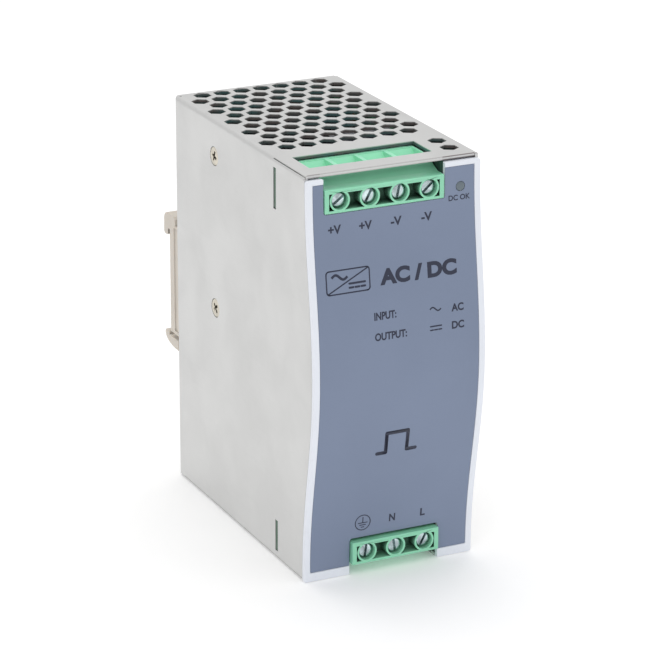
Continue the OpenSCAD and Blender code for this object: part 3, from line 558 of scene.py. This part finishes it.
def combine(first, second, operation):
    """Boolean of two bmeshes with the exact solver. Both are used up."""
    parts = []
    for bm in (first, second):
        mesh = bpy.data.meshes.new("part")
        bm.to_mesh(mesh)
        bm.free()
        made = bpy.data.objects.new("part", mesh)
        bpy.context.scene.collection.objects.link(made)
        parts.append(made)
    solve = parts[0].modifiers.new("solve", "BOOLEAN")
    solve.operation = operation
    solve.object = parts[1]
    solve.solver = "EXACT"
    bpy.context.view_layer.update()
    seen = parts[0].evaluated_get(bpy.context.evaluated_depsgraph_get())
    out = bmesh.new()
    out.from_mesh(seen.to_mesh())
    seen.to_mesh_clear()
    for made in parts:
        mesh = made.data
        bpy.data.objects.remove(made)
        bpy.data.meshes.remove(mesh)
    bmesh.ops.dissolve_limit(out, angle_limit=math.radians(0.5), verts=out.verts, edges=out.edges)
    return out


# ------------------------------------------------------------------ the bowed front

FLAT_TOP, FLAT_BOTTOM = 1.8, 0.6        # how far the two ends stand out in front of the sheet
BULGE_PEAK, BULGE_Z, BULGE_HALF = 7.0, 63.5, 59.0
ROWS = 62                               # strips that the bow is divided into


def front_at(z):
    """y of the bezel's front surface at a height."""
    flat = FLAT_TOP if z > BULGE_Z else FLAT_BOTTOM
    swing = min(abs(z - BULGE_Z) / BULGE_HALF, 1.0)
    return -flat - (BULGE_PEAK - flat) * (1 + math.cos(math.pi * swing)) / 2


def bow(bm, z0, z1):
    """Cuts a flat mesh into strips and bends it to the front's curve."""
    for k in range(1, ROWS):
        z = z0 + (z1 - z0) * k / ROWS
        bmesh.ops.bisect_plane(bm, geom=bm.verts[:] + bm.edges[:] + bm.faces[:], dist=1e-5,
                               plane_co=(0, 0, z), plane_no=(0, 0, 1))
    for v in bm.verts:
        v.co.y += front_at(v.co.z)
    return bm


NOTCH_GAP = 0.35                                  # room beside the blocks in their notches
OUT_X0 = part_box("output_terminal")[0].x / MM - NOTCH_GAP
IN_X0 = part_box("input_terminal")[0].x / MM - NOTCH_GAP
BLOCK_X1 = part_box("output_terminal")[1].x / MM + NOTCH_GAP

OUT_Z = OUT_SCREW_Z - 3.7                         # the notches' inner ends
IN_Z = IN_SCREW_Z + 4.5
LABEL_X0, LABEL_X1 = -25.85, 25.85
LABEL_Z0, LABEL_Z1 = 2.9, 122.5
LED_X, LED_Z = 21.3, 116.3
BEZEL_Z0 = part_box("front_bezel")[0].z / MM
BEZEL_Z1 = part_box("front_bezel")[1].z / MM - 0.2          # a dark seam shows over it
BEZEL_T = 1.4


def bezel():
    r, notch_r = 0.7, 0.7
    outline = arc_corners([
        (-HALF_W, BEZEL_Z0, r), (IN_X0, BEZEL_Z0, 0), (IN_X0, IN_Z, notch_r),
        (BLOCK_X1, IN_Z, notch_r), (BLOCK_X1, BEZEL_Z0, 0), (HALF_W, BEZEL_Z0, r),
        (HALF_W, BEZEL_Z1, r), (BLOCK_X1, BEZEL_Z1, 0), (BLOCK_X1, OUT_Z, notch_r),
        (OUT_X0, OUT_Z, notch_r), (OUT_X0, BEZEL_Z1, 0), (-HALF_W, BEZEL_Z1, r)])
    skin = prism(outline, 0, BEZEL_T, [circle(LED_X, LED_Z, 1.5)])
    recess = prism([(LABEL_X0, LABEL_Z0), (LABEL_X1, LABEL_Z0), (LABEL_X1, LABEL_Z1),
                    (LABEL_X0, LABEL_Z1)], -1, 0.35)
    skin = combine(skin, recess, "DIFFERENCE")
    # the rim that enters the case, behind the skin
    rim_x, rim_z0, rim_z1, wall = HALF_W - 1.2, 1.2, BEZEL_Z1 - 0.15, 1.5
    rim = prism([(-rim_x, rim_z0), (rim_x, rim_z0), (rim_x, rim_z1), (-rim_x, rim_z1)],
                BEZEL_T - 0.2, 4.6,
                [[(-rim_x + wall, rim_z0 + wall), (rim_x - wall, rim_z0 + wall),
                  (rim_x - wall, rim_z1 - wall), (-rim_x + wall, rim_z1 - wall)]])
    for x0, z0, z1 in ((OUT_X0, OUT_Z, 130), (IN_X0, -5, IN_Z)):
        rim = combine(rim, block((x0, -1, z0), (BLOCK_X1 + 0.6, 20, z1)), "DIFFERENCE")
    whole = combine(skin, rim, "UNION")
    bow(whole, BEZEL_Z0, BEZEL_Z1)
    for v in whole.verts:      # the rim's rear edge is a plane
        rear = v.co.y - front_at(v.co.z)
        if rear > 4.5:
            v.co.y = 4.5
    finish_mesh("bezel", whole, "case", "bezel_plastic", ["front_bezel"], 0.28, 3)


def label():
    inset = 0.12
    x0, x1, n = LABEL_X0 + inset, LABEL_X1 - inset, 0.03
    z0, z1 = LABEL_Z0 + inset, LABEL_Z1 - inset
    outline = arc_corners([
        (x0, z0, 0.3), (IN_X0 - n, z0, 0), (IN_X0 - n, IN_Z + n, 0.8),
        (BLOCK_X1 + n, IN_Z + n, 0.8), (BLOCK_X1 + n, z0, 0), (x1, z0, 0.3),
        (x1, z1, 0.3), (BLOCK_X1 + n, z1, 0), (BLOCK_X1 + n, OUT_Z - n, 0.8),
        (OUT_X0 - n, OUT_Z - n, 0.8), (OUT_X0 - n, z1, 0), (x0, z1, 0.3)])
    sheet = prism(outline, 0.1, 0.35, [circle(LED_X, LED_Z, 1.5)])
    bow(sheet, z0, z1)
    finish_mesh("label", sheet, "case", "label_film", ["front_label"], 0.05, 1)


def lens():
    base = front_at(LED_Z)
    bm = turned([(2.55, 0), (2.55, 2.0), (1.5, 2.0), (1.5, 1.42), (0.25, 1.42), (0.08, 1.3),
                 (0.0, 1.05), (-0.05, 0.6), (-0.07, 0)], 40, (LED_X, base, LED_Z))
    finish_mesh("lens", bm, "case", "lens_plastic", ["ok_lens"])


def shade_sheet(name, y0, y1, z0, z1):
    """Dark sheet beside a block, ribbed to keep it flat, that closes off the case: painted shade
    standing in for the shade of the cavity there.
    """
    x0, x1 = BLOCK_X1 + 0.1, BLOCK_X1 + 0.35
    rib_pitch, rib_w, ribs_end = 2.4, 0.5, min(y1, 12) - 1
    bm = block((x0, y0, z0), (x1, y1, z1))
    y = y0 + 1.0
    while y < ribs_end:
        rib = block((x0 - 0.2, y, z0 + 0.4), (x0 + 0.1, y + rib_w, z1 - 0.3))
        bm = combine(bm, rib, "UNION")
        y += rib_pitch
    # painted shade: a dark sheet where the cavity beside the block lies in shade
    finish_mesh(name, bm, "case", "insulation", bevel=0.05, segments=1, look="shroud")


bezel()
label()
lens()
shade_sheet("output_shade_sheet", -0.3, 17.5, OUT_Z + 0.5, CASE_H - 1.3)
shade_sheet("input_shade_sheet", 0.9, 9.5, 1.3, IN_Z - 0.5)


# ------------------------------------------------------------------ screws

def slotted_screw(name, node, body, slot_turn):
    """Terminal screw: chamfered cheese head with a worn slot and a turned shank."""
    low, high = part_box(node)
    x, z = screw_centre(node)
    y, length = low.y / MM - FRONT, (high.y - low.y) / MM
    bm = turned([(0.0, 0), (0.0, 1.55), (0.10, 1.95), (0.35, 2.2), (0.6, 2.25), (1.8, 2.25),
                 (2.0, 2.1), (2.0, 1.45), (length - 0.4, 1.45), (length, 1.05), (length, 0)], 56)
    cutter = block((-3, -1, -0.42), (3, 1.1, 0.42))
    for v in cutter.verts:
        v.co = Matrix.Rotation(math.radians(slot_turn), 3, "Y") @ v.co
    bm = combine(bm, cutter, "DIFFERENCE")
    for v in bm.verts:
        v.co += Vector((x, y, z))
    finish_mesh(name, bm, body, "screw_zinc", [node], 0.07, 2, 28)


SLOT_TURNS = {"output": [-36, -62, -78, -42], "input": [-82, -98, -62]}
for side, turns in SLOT_TURNS.items():
    for i, turn in enumerate(turns, 1):
        slotted_screw(f"{side}_clamp_screw_{i}", f"{side}_screw_{i}", f"{side}_screw_{i}", turn)


def cross_cutter(turn):
    """Tapered cross for a recess whose mouth is at y = 0."""
    depth, arm, half = 1.5, 1.95, 0.5              # arm and half are the mouth's
    whole = None
    for quarter in (0, 90):
        bm = bmesh.new()
        ends = []
        for y, a, h in ((-0.3, arm, half), (depth, arm * 0.35, half * 0.55)):
            ends.append([bm.verts.new((sx * a, y, sz * h)) for sx, sz in
                         ((-1, -1), (1, -1), (1, 1), (-1, 1))])
        bm.faces.new(ends[0])
        bm.faces.new(ends[1][::-1])
        for k in range(4):
            n = (k + 1) % 4
            bm.faces.new([ends[0][k], ends[1][k], ends[1][n], ends[0][n]])
        bmesh.ops.recalc_face_normals(bm, faces=bm.faces)
        for v in bm.verts:
            v.co = Matrix.Rotation(math.radians(turn + quarter), 3, "Y") @ v.co
        whole = bm if whole is None else combine(whole, bm, "UNION")
    return whole


def flat_screw_mesh(length, turn):
    """Countersunk cross-head screw along +y with its head's face at y = 0."""
    bm = turned([(0.05, 0), (0.05, 2.3), (0.12, 2.75), (0.3, 2.88), (1.75, 1.45),
                 (length - 0.4, 1.45), (length, 1.1), (length, 0)], 48)
    return combine(bm, cross_cutter(turn), "DIFFERENCE")


def placed(bm, turn, at):
    for v in bm.verts:
        v.co = turn @ v.co + Vector(at)
    return bm


def merged(parts):
    """One bmesh of several."""
    out = bmesh.new()
    for bm in parts:
        mesh = bpy.data.meshes.new("part")
        bm.to_mesh(mesh)
        bm.free()
        out.from_mesh(mesh)
        bpy.data.meshes.remove(mesh)
    return out


TO_PLUS_X = Matrix.Rotation(-math.pi / 2, 3, "Z")     # turns +y into +x
TO_MINUS_X = Matrix.Rotation(math.pi / 2, 3, "Z")

SIDE_SCREW_Y, SIDE_SCREW_Z = 62.5, (114.0, 65.9)
parts = [placed(flat_screw_mesh(7, 20 + 31 * k), TO_PLUS_X, (-HALF_W, SIDE_SCREW_Y, z))
         for k, z in enumerate(SIDE_SCREW_Z)]
finish_mesh("wall_screws", merged(parts), "case", "screw_zinc", ["side_screws"], 0.1, 2, 28,
            look="screw_dull")

COVER_SCREWS = [(y, z) for y in (35, 77) for z in (CASE_H - 7, 7)] + [(CASE_D - 7, 62)]
parts = [placed(flat_screw_mesh(4, 12 + 41 * k), TO_MINUS_X, (HALF_W, y, z))
         for k, (y, z) in enumerate(COVER_SCREWS)]
finish_mesh("side_cover_screws", merged(parts), "case", "screw_zinc", ["cover_screws"], 0.1, 2, 28,
            look="screw_dull")


# ------------------------------------------------------------------ rail clip

CLIP_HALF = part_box("rail_clip")[1].x / MM
HOOK_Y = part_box("rail_clip")[1].y / MM - FRONT
CLIP_Z0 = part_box("rail_clip")[0].z / MM
RAIL_H = 35
RAIL_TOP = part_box("rail_clip")[1].z / MM - 5.1
SEAT_Y = CASE_D + 6                               # the face that the rail rests on
LIP_Y = SEAT_Y + 1.5
CHANNEL_HALF, CHANNEL_Y, CHANNEL_TOP = 9.2, SEAT_Y - 1.4, 74    # what the latch slides in
POST_HALF, POST_Z0, POST_Z1 = 2.9, 53.9, 56
CLIP_SCREW_X, CLIP_SCREW_Z = 20, 62.7


def bar(outline, x0, x1):
    """Bar along x with its side outline in (y, z)."""
    bm = prism(outline, x0, x1)
    for v in bm.verts:
        v.co.xy = v.co.yx
    bmesh.ops.recalc_face_normals(bm, faces=bm.faces)
    return bm


def clip():
    top = RAIL_TOP
    bm = bar([(CASE_D, CLIP_Z0), (SEAT_Y, CLIP_Z0), (SEAT_Y, top), (LIP_Y, top),
              (LIP_Y, top - 1.8), (LIP_Y + 0.7, top - 2.2), (HOOK_Y - 0.6, top - 2.2),
              (HOOK_Y, top - 1.6), (HOOK_Y, top + 3), (HOOK_Y - 0.5, top + 4.2),
              (HOOK_Y - 1.4, top + 4.9), (HOOK_Y - 2.6, top + 5.1), (CASE_D + 3, top + 5.1),
              (CASE_D + 2, top + 4.2), (CASE_D + 1.8, top + 2.2), (CASE_D, top + 2.2)],
             -CLIP_HALF, CLIP_HALF)
    channel = block((-CHANNEL_HALF, CASE_D - 1, CLIP_Z0 - 1), (CHANNEL_HALF, CHANNEL_Y, CHANNEL_TOP))
    bm = combine(bm, channel, "DIFFERENCE")
    for x in (-CLIP_SCREW_X, CLIP_SCREW_X):
        hole = turned([(-1, 1.65), (3.6, 1.65), (3.6, 3.0), (7, 3.0)], 56,
                      (x, CASE_D, CLIP_SCREW_Z))
        bm = combine(bm, hole, "DIFFERENCE")
    for side in (-1, 1):                          # a moulded step in each end
        x = side * (CLIP_HALF + 0.55)
        step = block((x - 1, CASE_D - 1, CLIP_Z0 + 1.2), (x + 1, CASE_D + 2.9, top + 1.4))
        bm = combine(bm, step, "DIFFERENCE")
    post = block((-POST_HALF, CASE_D + 0.9, POST_Z0), (POST_HALF, CHANNEL_Y + 0.5, POST_Z1))
    bm = combine(bm, post, "UNION")
    finish_mesh("clip_body", bm, "case", "clip_nylon", ["rail_clip"], 0.3, 3, 25)


def latch():
    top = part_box("rail_latch")[1].z / MM
    nose = RAIL_TOP - RAIL_H - 0.2
    ramp = [(CASE_D + 1.5 + 9 * math.cos(math.radians(a)), nose - 3.3 * math.sin(math.radians(a)))
            for a in range(0, 91, 6)]
    bm = bar([(CASE_D + 0.3, nose), (LIP_Y, nose), (LIP_Y, nose + 0.8), (LIP_Y + 0.5, nose + 1.2),
              (HOOK_Y - 0.6, nose + 1.2), (HOOK_Y, nose + 0.6), *ramp, (CASE_D + 0.3, nose - 3.3)],
             -CLIP_HALF, CLIP_HALF)
    tongue = block((0.4 - CHANNEL_HALF, CASE_D + 0.6, nose - 1),
                   (CHANNEL_HALF - 0.4, CHANNEL_Y - 0.3, top))
    bm = combine(bm, tongue, "UNION")
    window = block((-POST_HALF - 0.5, CASE_D, POST_Z0 - 0.4), (POST_HALF + 0.5, SEAT_Y, 67.5))
    bm = combine(bm, window, "DIFFERENCE")
    slot = block((-3, CASE_D + 2.5, nose - 5), (3, CASE_D + 4.5, nose - 1.2))
    bm = combine(bm, slot, "DIFFERENCE")
    finish_mesh("latch_slide", bm, "rail_latch", "clip_nylon", ["rail_latch"], 0.25, 3, 25)


clip()
latch()


# ------------------------------------------------------------------ latch spring

def coil():
    """Compression spring: seven turns, with the two end turns closed up."""
    low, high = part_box("latch_spring")
    wire, r = 0.25, 1.35
    z0, z1 = low.z / MM + wire, high.z / MM - wire
    y = (low.y + high.y) / 2 / MM - FRONT
    turns, steps, sides = 7.0, 28, 10
    rings = int(turns * steps)
    bm = bmesh.new()
    last = None
    for i in range(rings + 1):
        t = i / rings
        eased = t - 0.055 * math.sin(2 * math.pi * t)      # closer turns towards the ends
        a = 2 * math.pi * turns * t
        middle = Vector((r * math.cos(a), y + r * math.sin(a), z0 + (z1 - z0) * eased))
        out = Vector((math.cos(a), math.sin(a), 0))
        ring = [bm.verts.new(middle + wire * (math.cos(b) * out + math.sin(b) * Vector((0, 0, 1))))
                for b in (2 * math.pi * k / sides for k in range(sides))]
        if last:
            for k in range(sides):
                n = (k + 1) % sides
                bm.faces.new([last[k], last[n], ring[n], ring[k]])
        else:
            bm.faces.new(ring[::-1])
        last = ring
    bm.faces.new(last)
    piece = finish_mesh("foot_spring", bm, "case", "spring_steel", ["latch_spring"], angle=60)
    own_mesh(piece)


coil()


# ------------------------------------------------------------------ printed marks

INK_LIFT, INK_T = 0.075, 0.03      # prints lie on the label, this far behind the bow's surface


def lay_on_front(name, bm):
    """Bends flat marks, drawn in (x, z), to the label and gives them their thickness."""
    for v in bm.verts:
        v.co.y = 0.0
    made = bmesh.ops.extrude_face_region(bm, geom=bm.faces[:])
    for v in (g for g in made["geom"] if isinstance(g, bmesh.types.BMVert)):
        v.co.y = INK_T
    for v in bm.verts:
        v.co.y += front_at(v.co.z) + INK_LIFT
    finish_mesh(name, bm, "case", "label_film", look="ink")


def strokes(segments, width):
    """Flat bars between (x, z) points, each with rounded ends."""
    bm = bmesh.new()
    for (x0, z0), (x1, z1) in segments:
        a, b = Vector((x0, z0)), Vector((x1, z1))
        along = math.atan2(b.y - a.y, b.x - a.x)
        pts = []
        for end, start in ((b, along - math.pi / 2), (a, along + math.pi / 2)):
            pts += [end + width / 2 * Vector((math.cos(start + math.pi * k / 6),
                                              math.sin(start + math.pi * k / 6))) for k in range(7)]
        bm.faces.new([bm.verts.new((p.x, 0, p.y)) for p in pts])
    return bm


def ring_mark(x, z, r, width, steps=40):
    """Flat ring."""
    bm = bmesh.new()
    angles = [2 * math.pi * k / steps for k in range(steps + 1)]
    rows = [[bm.verts.new((x + q * math.cos(a), 0, z + q * math.sin(a))) for a in angles]
            for q in (r - width / 2, r + width / 2)]
    for k in range(steps):
        bm.faces.new([rows[0][k], rows[0][k + 1], rows[1][k + 1], rows[1][k]])
    return bm


def wave_mark(x0, x1, z, height, width, steps=24):
    """Flat band along one period of a sine."""
    bm = bmesh.new()
    rows = [[], []]
    for k in range(steps + 1):
        t = k / steps
        for row, side in zip(rows, (-1, 1)):
            slope = math.cos(2 * math.pi * t) * 2 * math.pi * height / (x1 - x0)
            n = Vector((-slope, 1)).normalized() * side * width / 2
            row.append(bm.verts.new((x0 + (x1 - x0) * t + n.x, 0,
                                     z + height * math.sin(2 * math.pi * t) + n.y)))
    for k in range(steps):
        bm.faces.new([rows[0][k], rows[0][k + 1], rows[1][k + 1], rows[1][k]])
    return bm


def lettering(words, x, z, width, height, weight=0.0):
    """Flat letters that fill a width and a height about (x, z). The weight thickens them."""
    curve = bpy.data.curves.new("words", "FONT")
    curve.body = words
    curve.size = height / 0.70
    curve.offset = weight
    curve.resolution_u = 5
    made = bpy.data.objects.new("words", curve)
    bpy.context.scene.collection.objects.link(made)
    bpy.context.view_layer.update()
    seen = made.evaluated_get(bpy.context.evaluated_depsgraph_get())
    bm = bmesh.new()
    bm.from_mesh(seen.to_mesh())
    seen.to_mesh_clear()
    bpy.data.objects.remove(made)
    bpy.data.curves.remove(curve)
    low = Vector([min(v.co[i] for v in bm.verts) for i in (0, 1)])
    high = Vector([max(v.co[i] for v in bm.verts) for i in (0, 1)])
    for v in bm.verts:
        v.co = Vector((x + width * ((v.co.x - low.x) / (high.x - low.x) - 0.5), 0,
                       z + height * ((v.co.y - low.y) / (high.y - low.y) - 0.5)))
    bmesh.ops.remove_doubles(bm, verts=bm.verts, dist=1e-4)
    return bm


def chain(points, width, closed=False):
    """Flat line through (x, z) points."""
    ends = points[1:] + (points[:1] if closed else [])
    return strokes(list(zip(points, ends)), width)


def direct_mark(x0, x1, z, gap, width):
    """The sign for direct current: a line over three dashes."""
    dash = (x1 - x0) / 4
    bars = [((x0, z + gap / 2), (x1, z + gap / 2))]
    bars += [((x0 + k * dash * 1.5, z - gap / 2), (x0 + (k * 1.5 + 1) * dash, z - gap / 2))
             for k in range(3)]
    return strokes(bars, width)


for k, words in enumerate(("+V", "+V", "-V", "-V")):
    lay_on_front(f"mark_pole_{k + 1}",
                 lettering(words, -19.2 + 9.8 * k, 108.85, 4.1 if k < 2 else 3.5, 2.6, 0.12))
lay_on_front("mark_neutral", lettering("N", 0.75, 16.3, 2.0, 2.5, 0.12))
lay_on_front("mark_live", lettering("L", 10.9, 16.2, 1.6, 2.5, 0.12))
lay_on_front("mark_ok", lettering("DC OK", 20.9, 113.1, 7.0, 1.65, 0.05))

EARTH = Vector((-8.95, 16.35))
bars = [(0, 1.7, 0, -0.1)] + [(-w, z, w, z) for w, z in ((1.45, -0.1), (0.95, -0.8), (0.45, -1.5))]
lay_on_front("mark_earth", merged([
    ring_mark(*EARTH, 2.45, 0.3),
    strokes([(EARTH + Vector(b[:2]), EARTH + Vector(b[2:])) for b in bars], 0.3)]))

# a converter: a frame split by a diagonal, alternating current in and direct current out
BOX_X, BOX_Z = (-22.6, -8.9), (90.2, 97.0)
frame_line = arc_corners([(BOX_X[0], BOX_Z[0], 0.9), (BOX_X[1], BOX_Z[0], 0.9),
                          (BOX_X[1], BOX_Z[1], 0.9), (BOX_X[0], BOX_Z[1], 0.9)], 4)
lay_on_front("mark_converter", merged([
    chain(frame_line, 0.4, closed=True),
    strokes([((BOX_X[0] + 0.5, BOX_Z[0] + 0.3), (BOX_X[1] - 0.5, BOX_Z[1] - 0.3))], 0.4),
    wave_mark(-20.9, -15.9, 95.0, 0.75, 0.75), direct_mark(-15.4, -10.4, 92.2, 1.2, 0.6)]))
lay_on_front("mark_kind", lettering("AC / DC", 6.8, 93.2, 24.8, 4.8, 0.35))
lay_on_front("mark_input", merged([
    lettering("INPUT:", -4.5, 82.0, 7.1, 2.35, 0.11), lettering("AC", 18.9, 81.1, 4.0, 2.35, 0.11),
    wave_mark(9.9, 13.5, 81.5, 0.55, 0.42)]))
lay_on_front("mark_output", merged([
    lettering("OUTPUT:", -2.9, 75.9, 10.3, 2.35, 0.11), lettering("DC", 18.9, 75.9, 4.0, 2.35, 0.11),
    direct_mark(9.9, 13.5, 75.9, 1.1, 0.42)]))
lay_on_front("mark_rail", chain(
    [(-6.2, 38.9), (-3.4, 38.9), (-3.4, 45.2), (3.5, 45.2), (3.5, 38.9), (6.3, 38.9)], 1.15))


# ------------------------------------------------------------------ carried-over CAD nodes

replaced = {n for o in bpy.data.objects for n in o.get("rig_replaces", [])}
PLAIN_EDGE = 0.12                    # width of the rounding of an edge, and where it differs
EDGE = {"output_terminal": 0.16, "input_terminal": 0.16, "insulation_sheet": 0.05,
        "transformer_winding": 1.2, "x_capacitors": 0.5, "bulk_capacitors": 0.9,
        "output_capacitors": 0.6, "varistor": 1.0, "y_capacitors": 0.8, "inrush_thermistor": 0.9,
        "choke_windings": 0.8, "inductor_winding": 0.8, "choke_core": 0.8, "inductor_core": 0.8,
        "transformer_core": 0.3, "bridge_rectifier": 0.3, "fuse": 0.3}
SLOT_OF = {p["node"]: p["material_slot"] for p in frame["record"]["subparts"]}
for name, node in frame["nodes"].items():
    if name in replaced:
        continue
    node.data.materials.clear()
    node.data.materials.append(LOOKS[SLOT_OF[name]])
    weld = node.modifiers.new("weld", "WELD")
    weld.merge_threshold = 0.00001
    add_bevel(node, EDGE.get(name, PLAIN_EDGE), 2, 28)
    even = node.modifiers.new("even", "WEIGHTED_NORMAL")
    even.keep_sharp = False
    even.weight = 60


# ------------------------------------------------------------------ stage, lights and camera

def stage_floor():
    bm = bmesh.new()
    bmesh.ops.create_grid(bm, x_segments=8, y_segments=8, size=3)
    mesh = bpy.data.meshes.new("floor")
    bm.to_mesh(mesh)
    bm.free()
    floor = bpy.data.objects.new("floor", mesh)
    bpy.context.scene.collection.objects.link(floor)
    look = Look("floor_paint", 0.85)
    look.colour(look.mix(look.noise(3, 3), srgb(252, 252, 252), srgb(248, 248, 248)))
    look.shader.inputs["Emission Color"].default_value = (1, 1, 1, 1)
    look.shader.inputs["Emission Strength"].default_value = 0.14
    mesh.materials.append(look.material)


def area_light(name, at, to, size, power):
    light = bpy.data.lights.new(name, "AREA")
    light.shape = "RECTANGLE"
    light.size, light.size_y = size
    light.energy = power
    made = bpy.data.objects.new(name, light)
    made.location = at
    made.rotation_mode = "QUATERNION"
    made.rotation_quaternion = (Vector(to) - Vector(at)).to_track_quat("-Z", "Y")
    bpy.context.scene.collection.objects.link(made)


stage_floor()
middle = (0, 0, 0.06)
area_light("key", (-0.9, -1.3, 1.5), middle, (1.2, 1.2), 5)
area_light("fill", (1.3, -1.0, 0.9), middle, (1.2, 1.2), 2)
area_light("top", (0.1, 0.5, 1.7), middle, (1.4, 1.0), 9)

world = bpy.data.worlds.new("studio")
world.use_nodes = True
world.node_tree.nodes["Background"].inputs["Color"].default_value = (1.0, 1.0, 1.0, 1)
world.node_tree.nodes["Background"].inputs["Strength"].default_value = 0.70
bpy.context.scene.world = world
bpy.context.scene.view_settings.view_transform = "Standard"


def make_camera():
    azimuth, elevation, roll = (math.radians(a) for a in (-25.84, 19.84, 0.18))
    target = Vector((-1.59, -8.0, 63.68)) * MM
    distance, lens_mm = 0.950, 174.4
    back = Vector((math.sin(azimuth) * math.cos(elevation),
                   -math.cos(azimuth) * math.cos(elevation), math.sin(elevation)))
    data = bpy.data.cameras.new("camera")
    data.sensor_width = 36.0
    data.lens = lens_mm
    data.clip_start, data.clip_end = 0.01, 20
    camera = bpy.data.objects.new("camera", data)
    camera.location = target + back * distance
    camera.rotation_mode = "QUATERNION"
    camera.rotation_quaternion = ((-back).to_track_quat("-Z", "Y")
                                  @ Quaternion((0, 0, 1), roll))
    bpy.context.scene.collection.objects.link(camera)
    bpy.context.scene.camera = camera


make_camera()
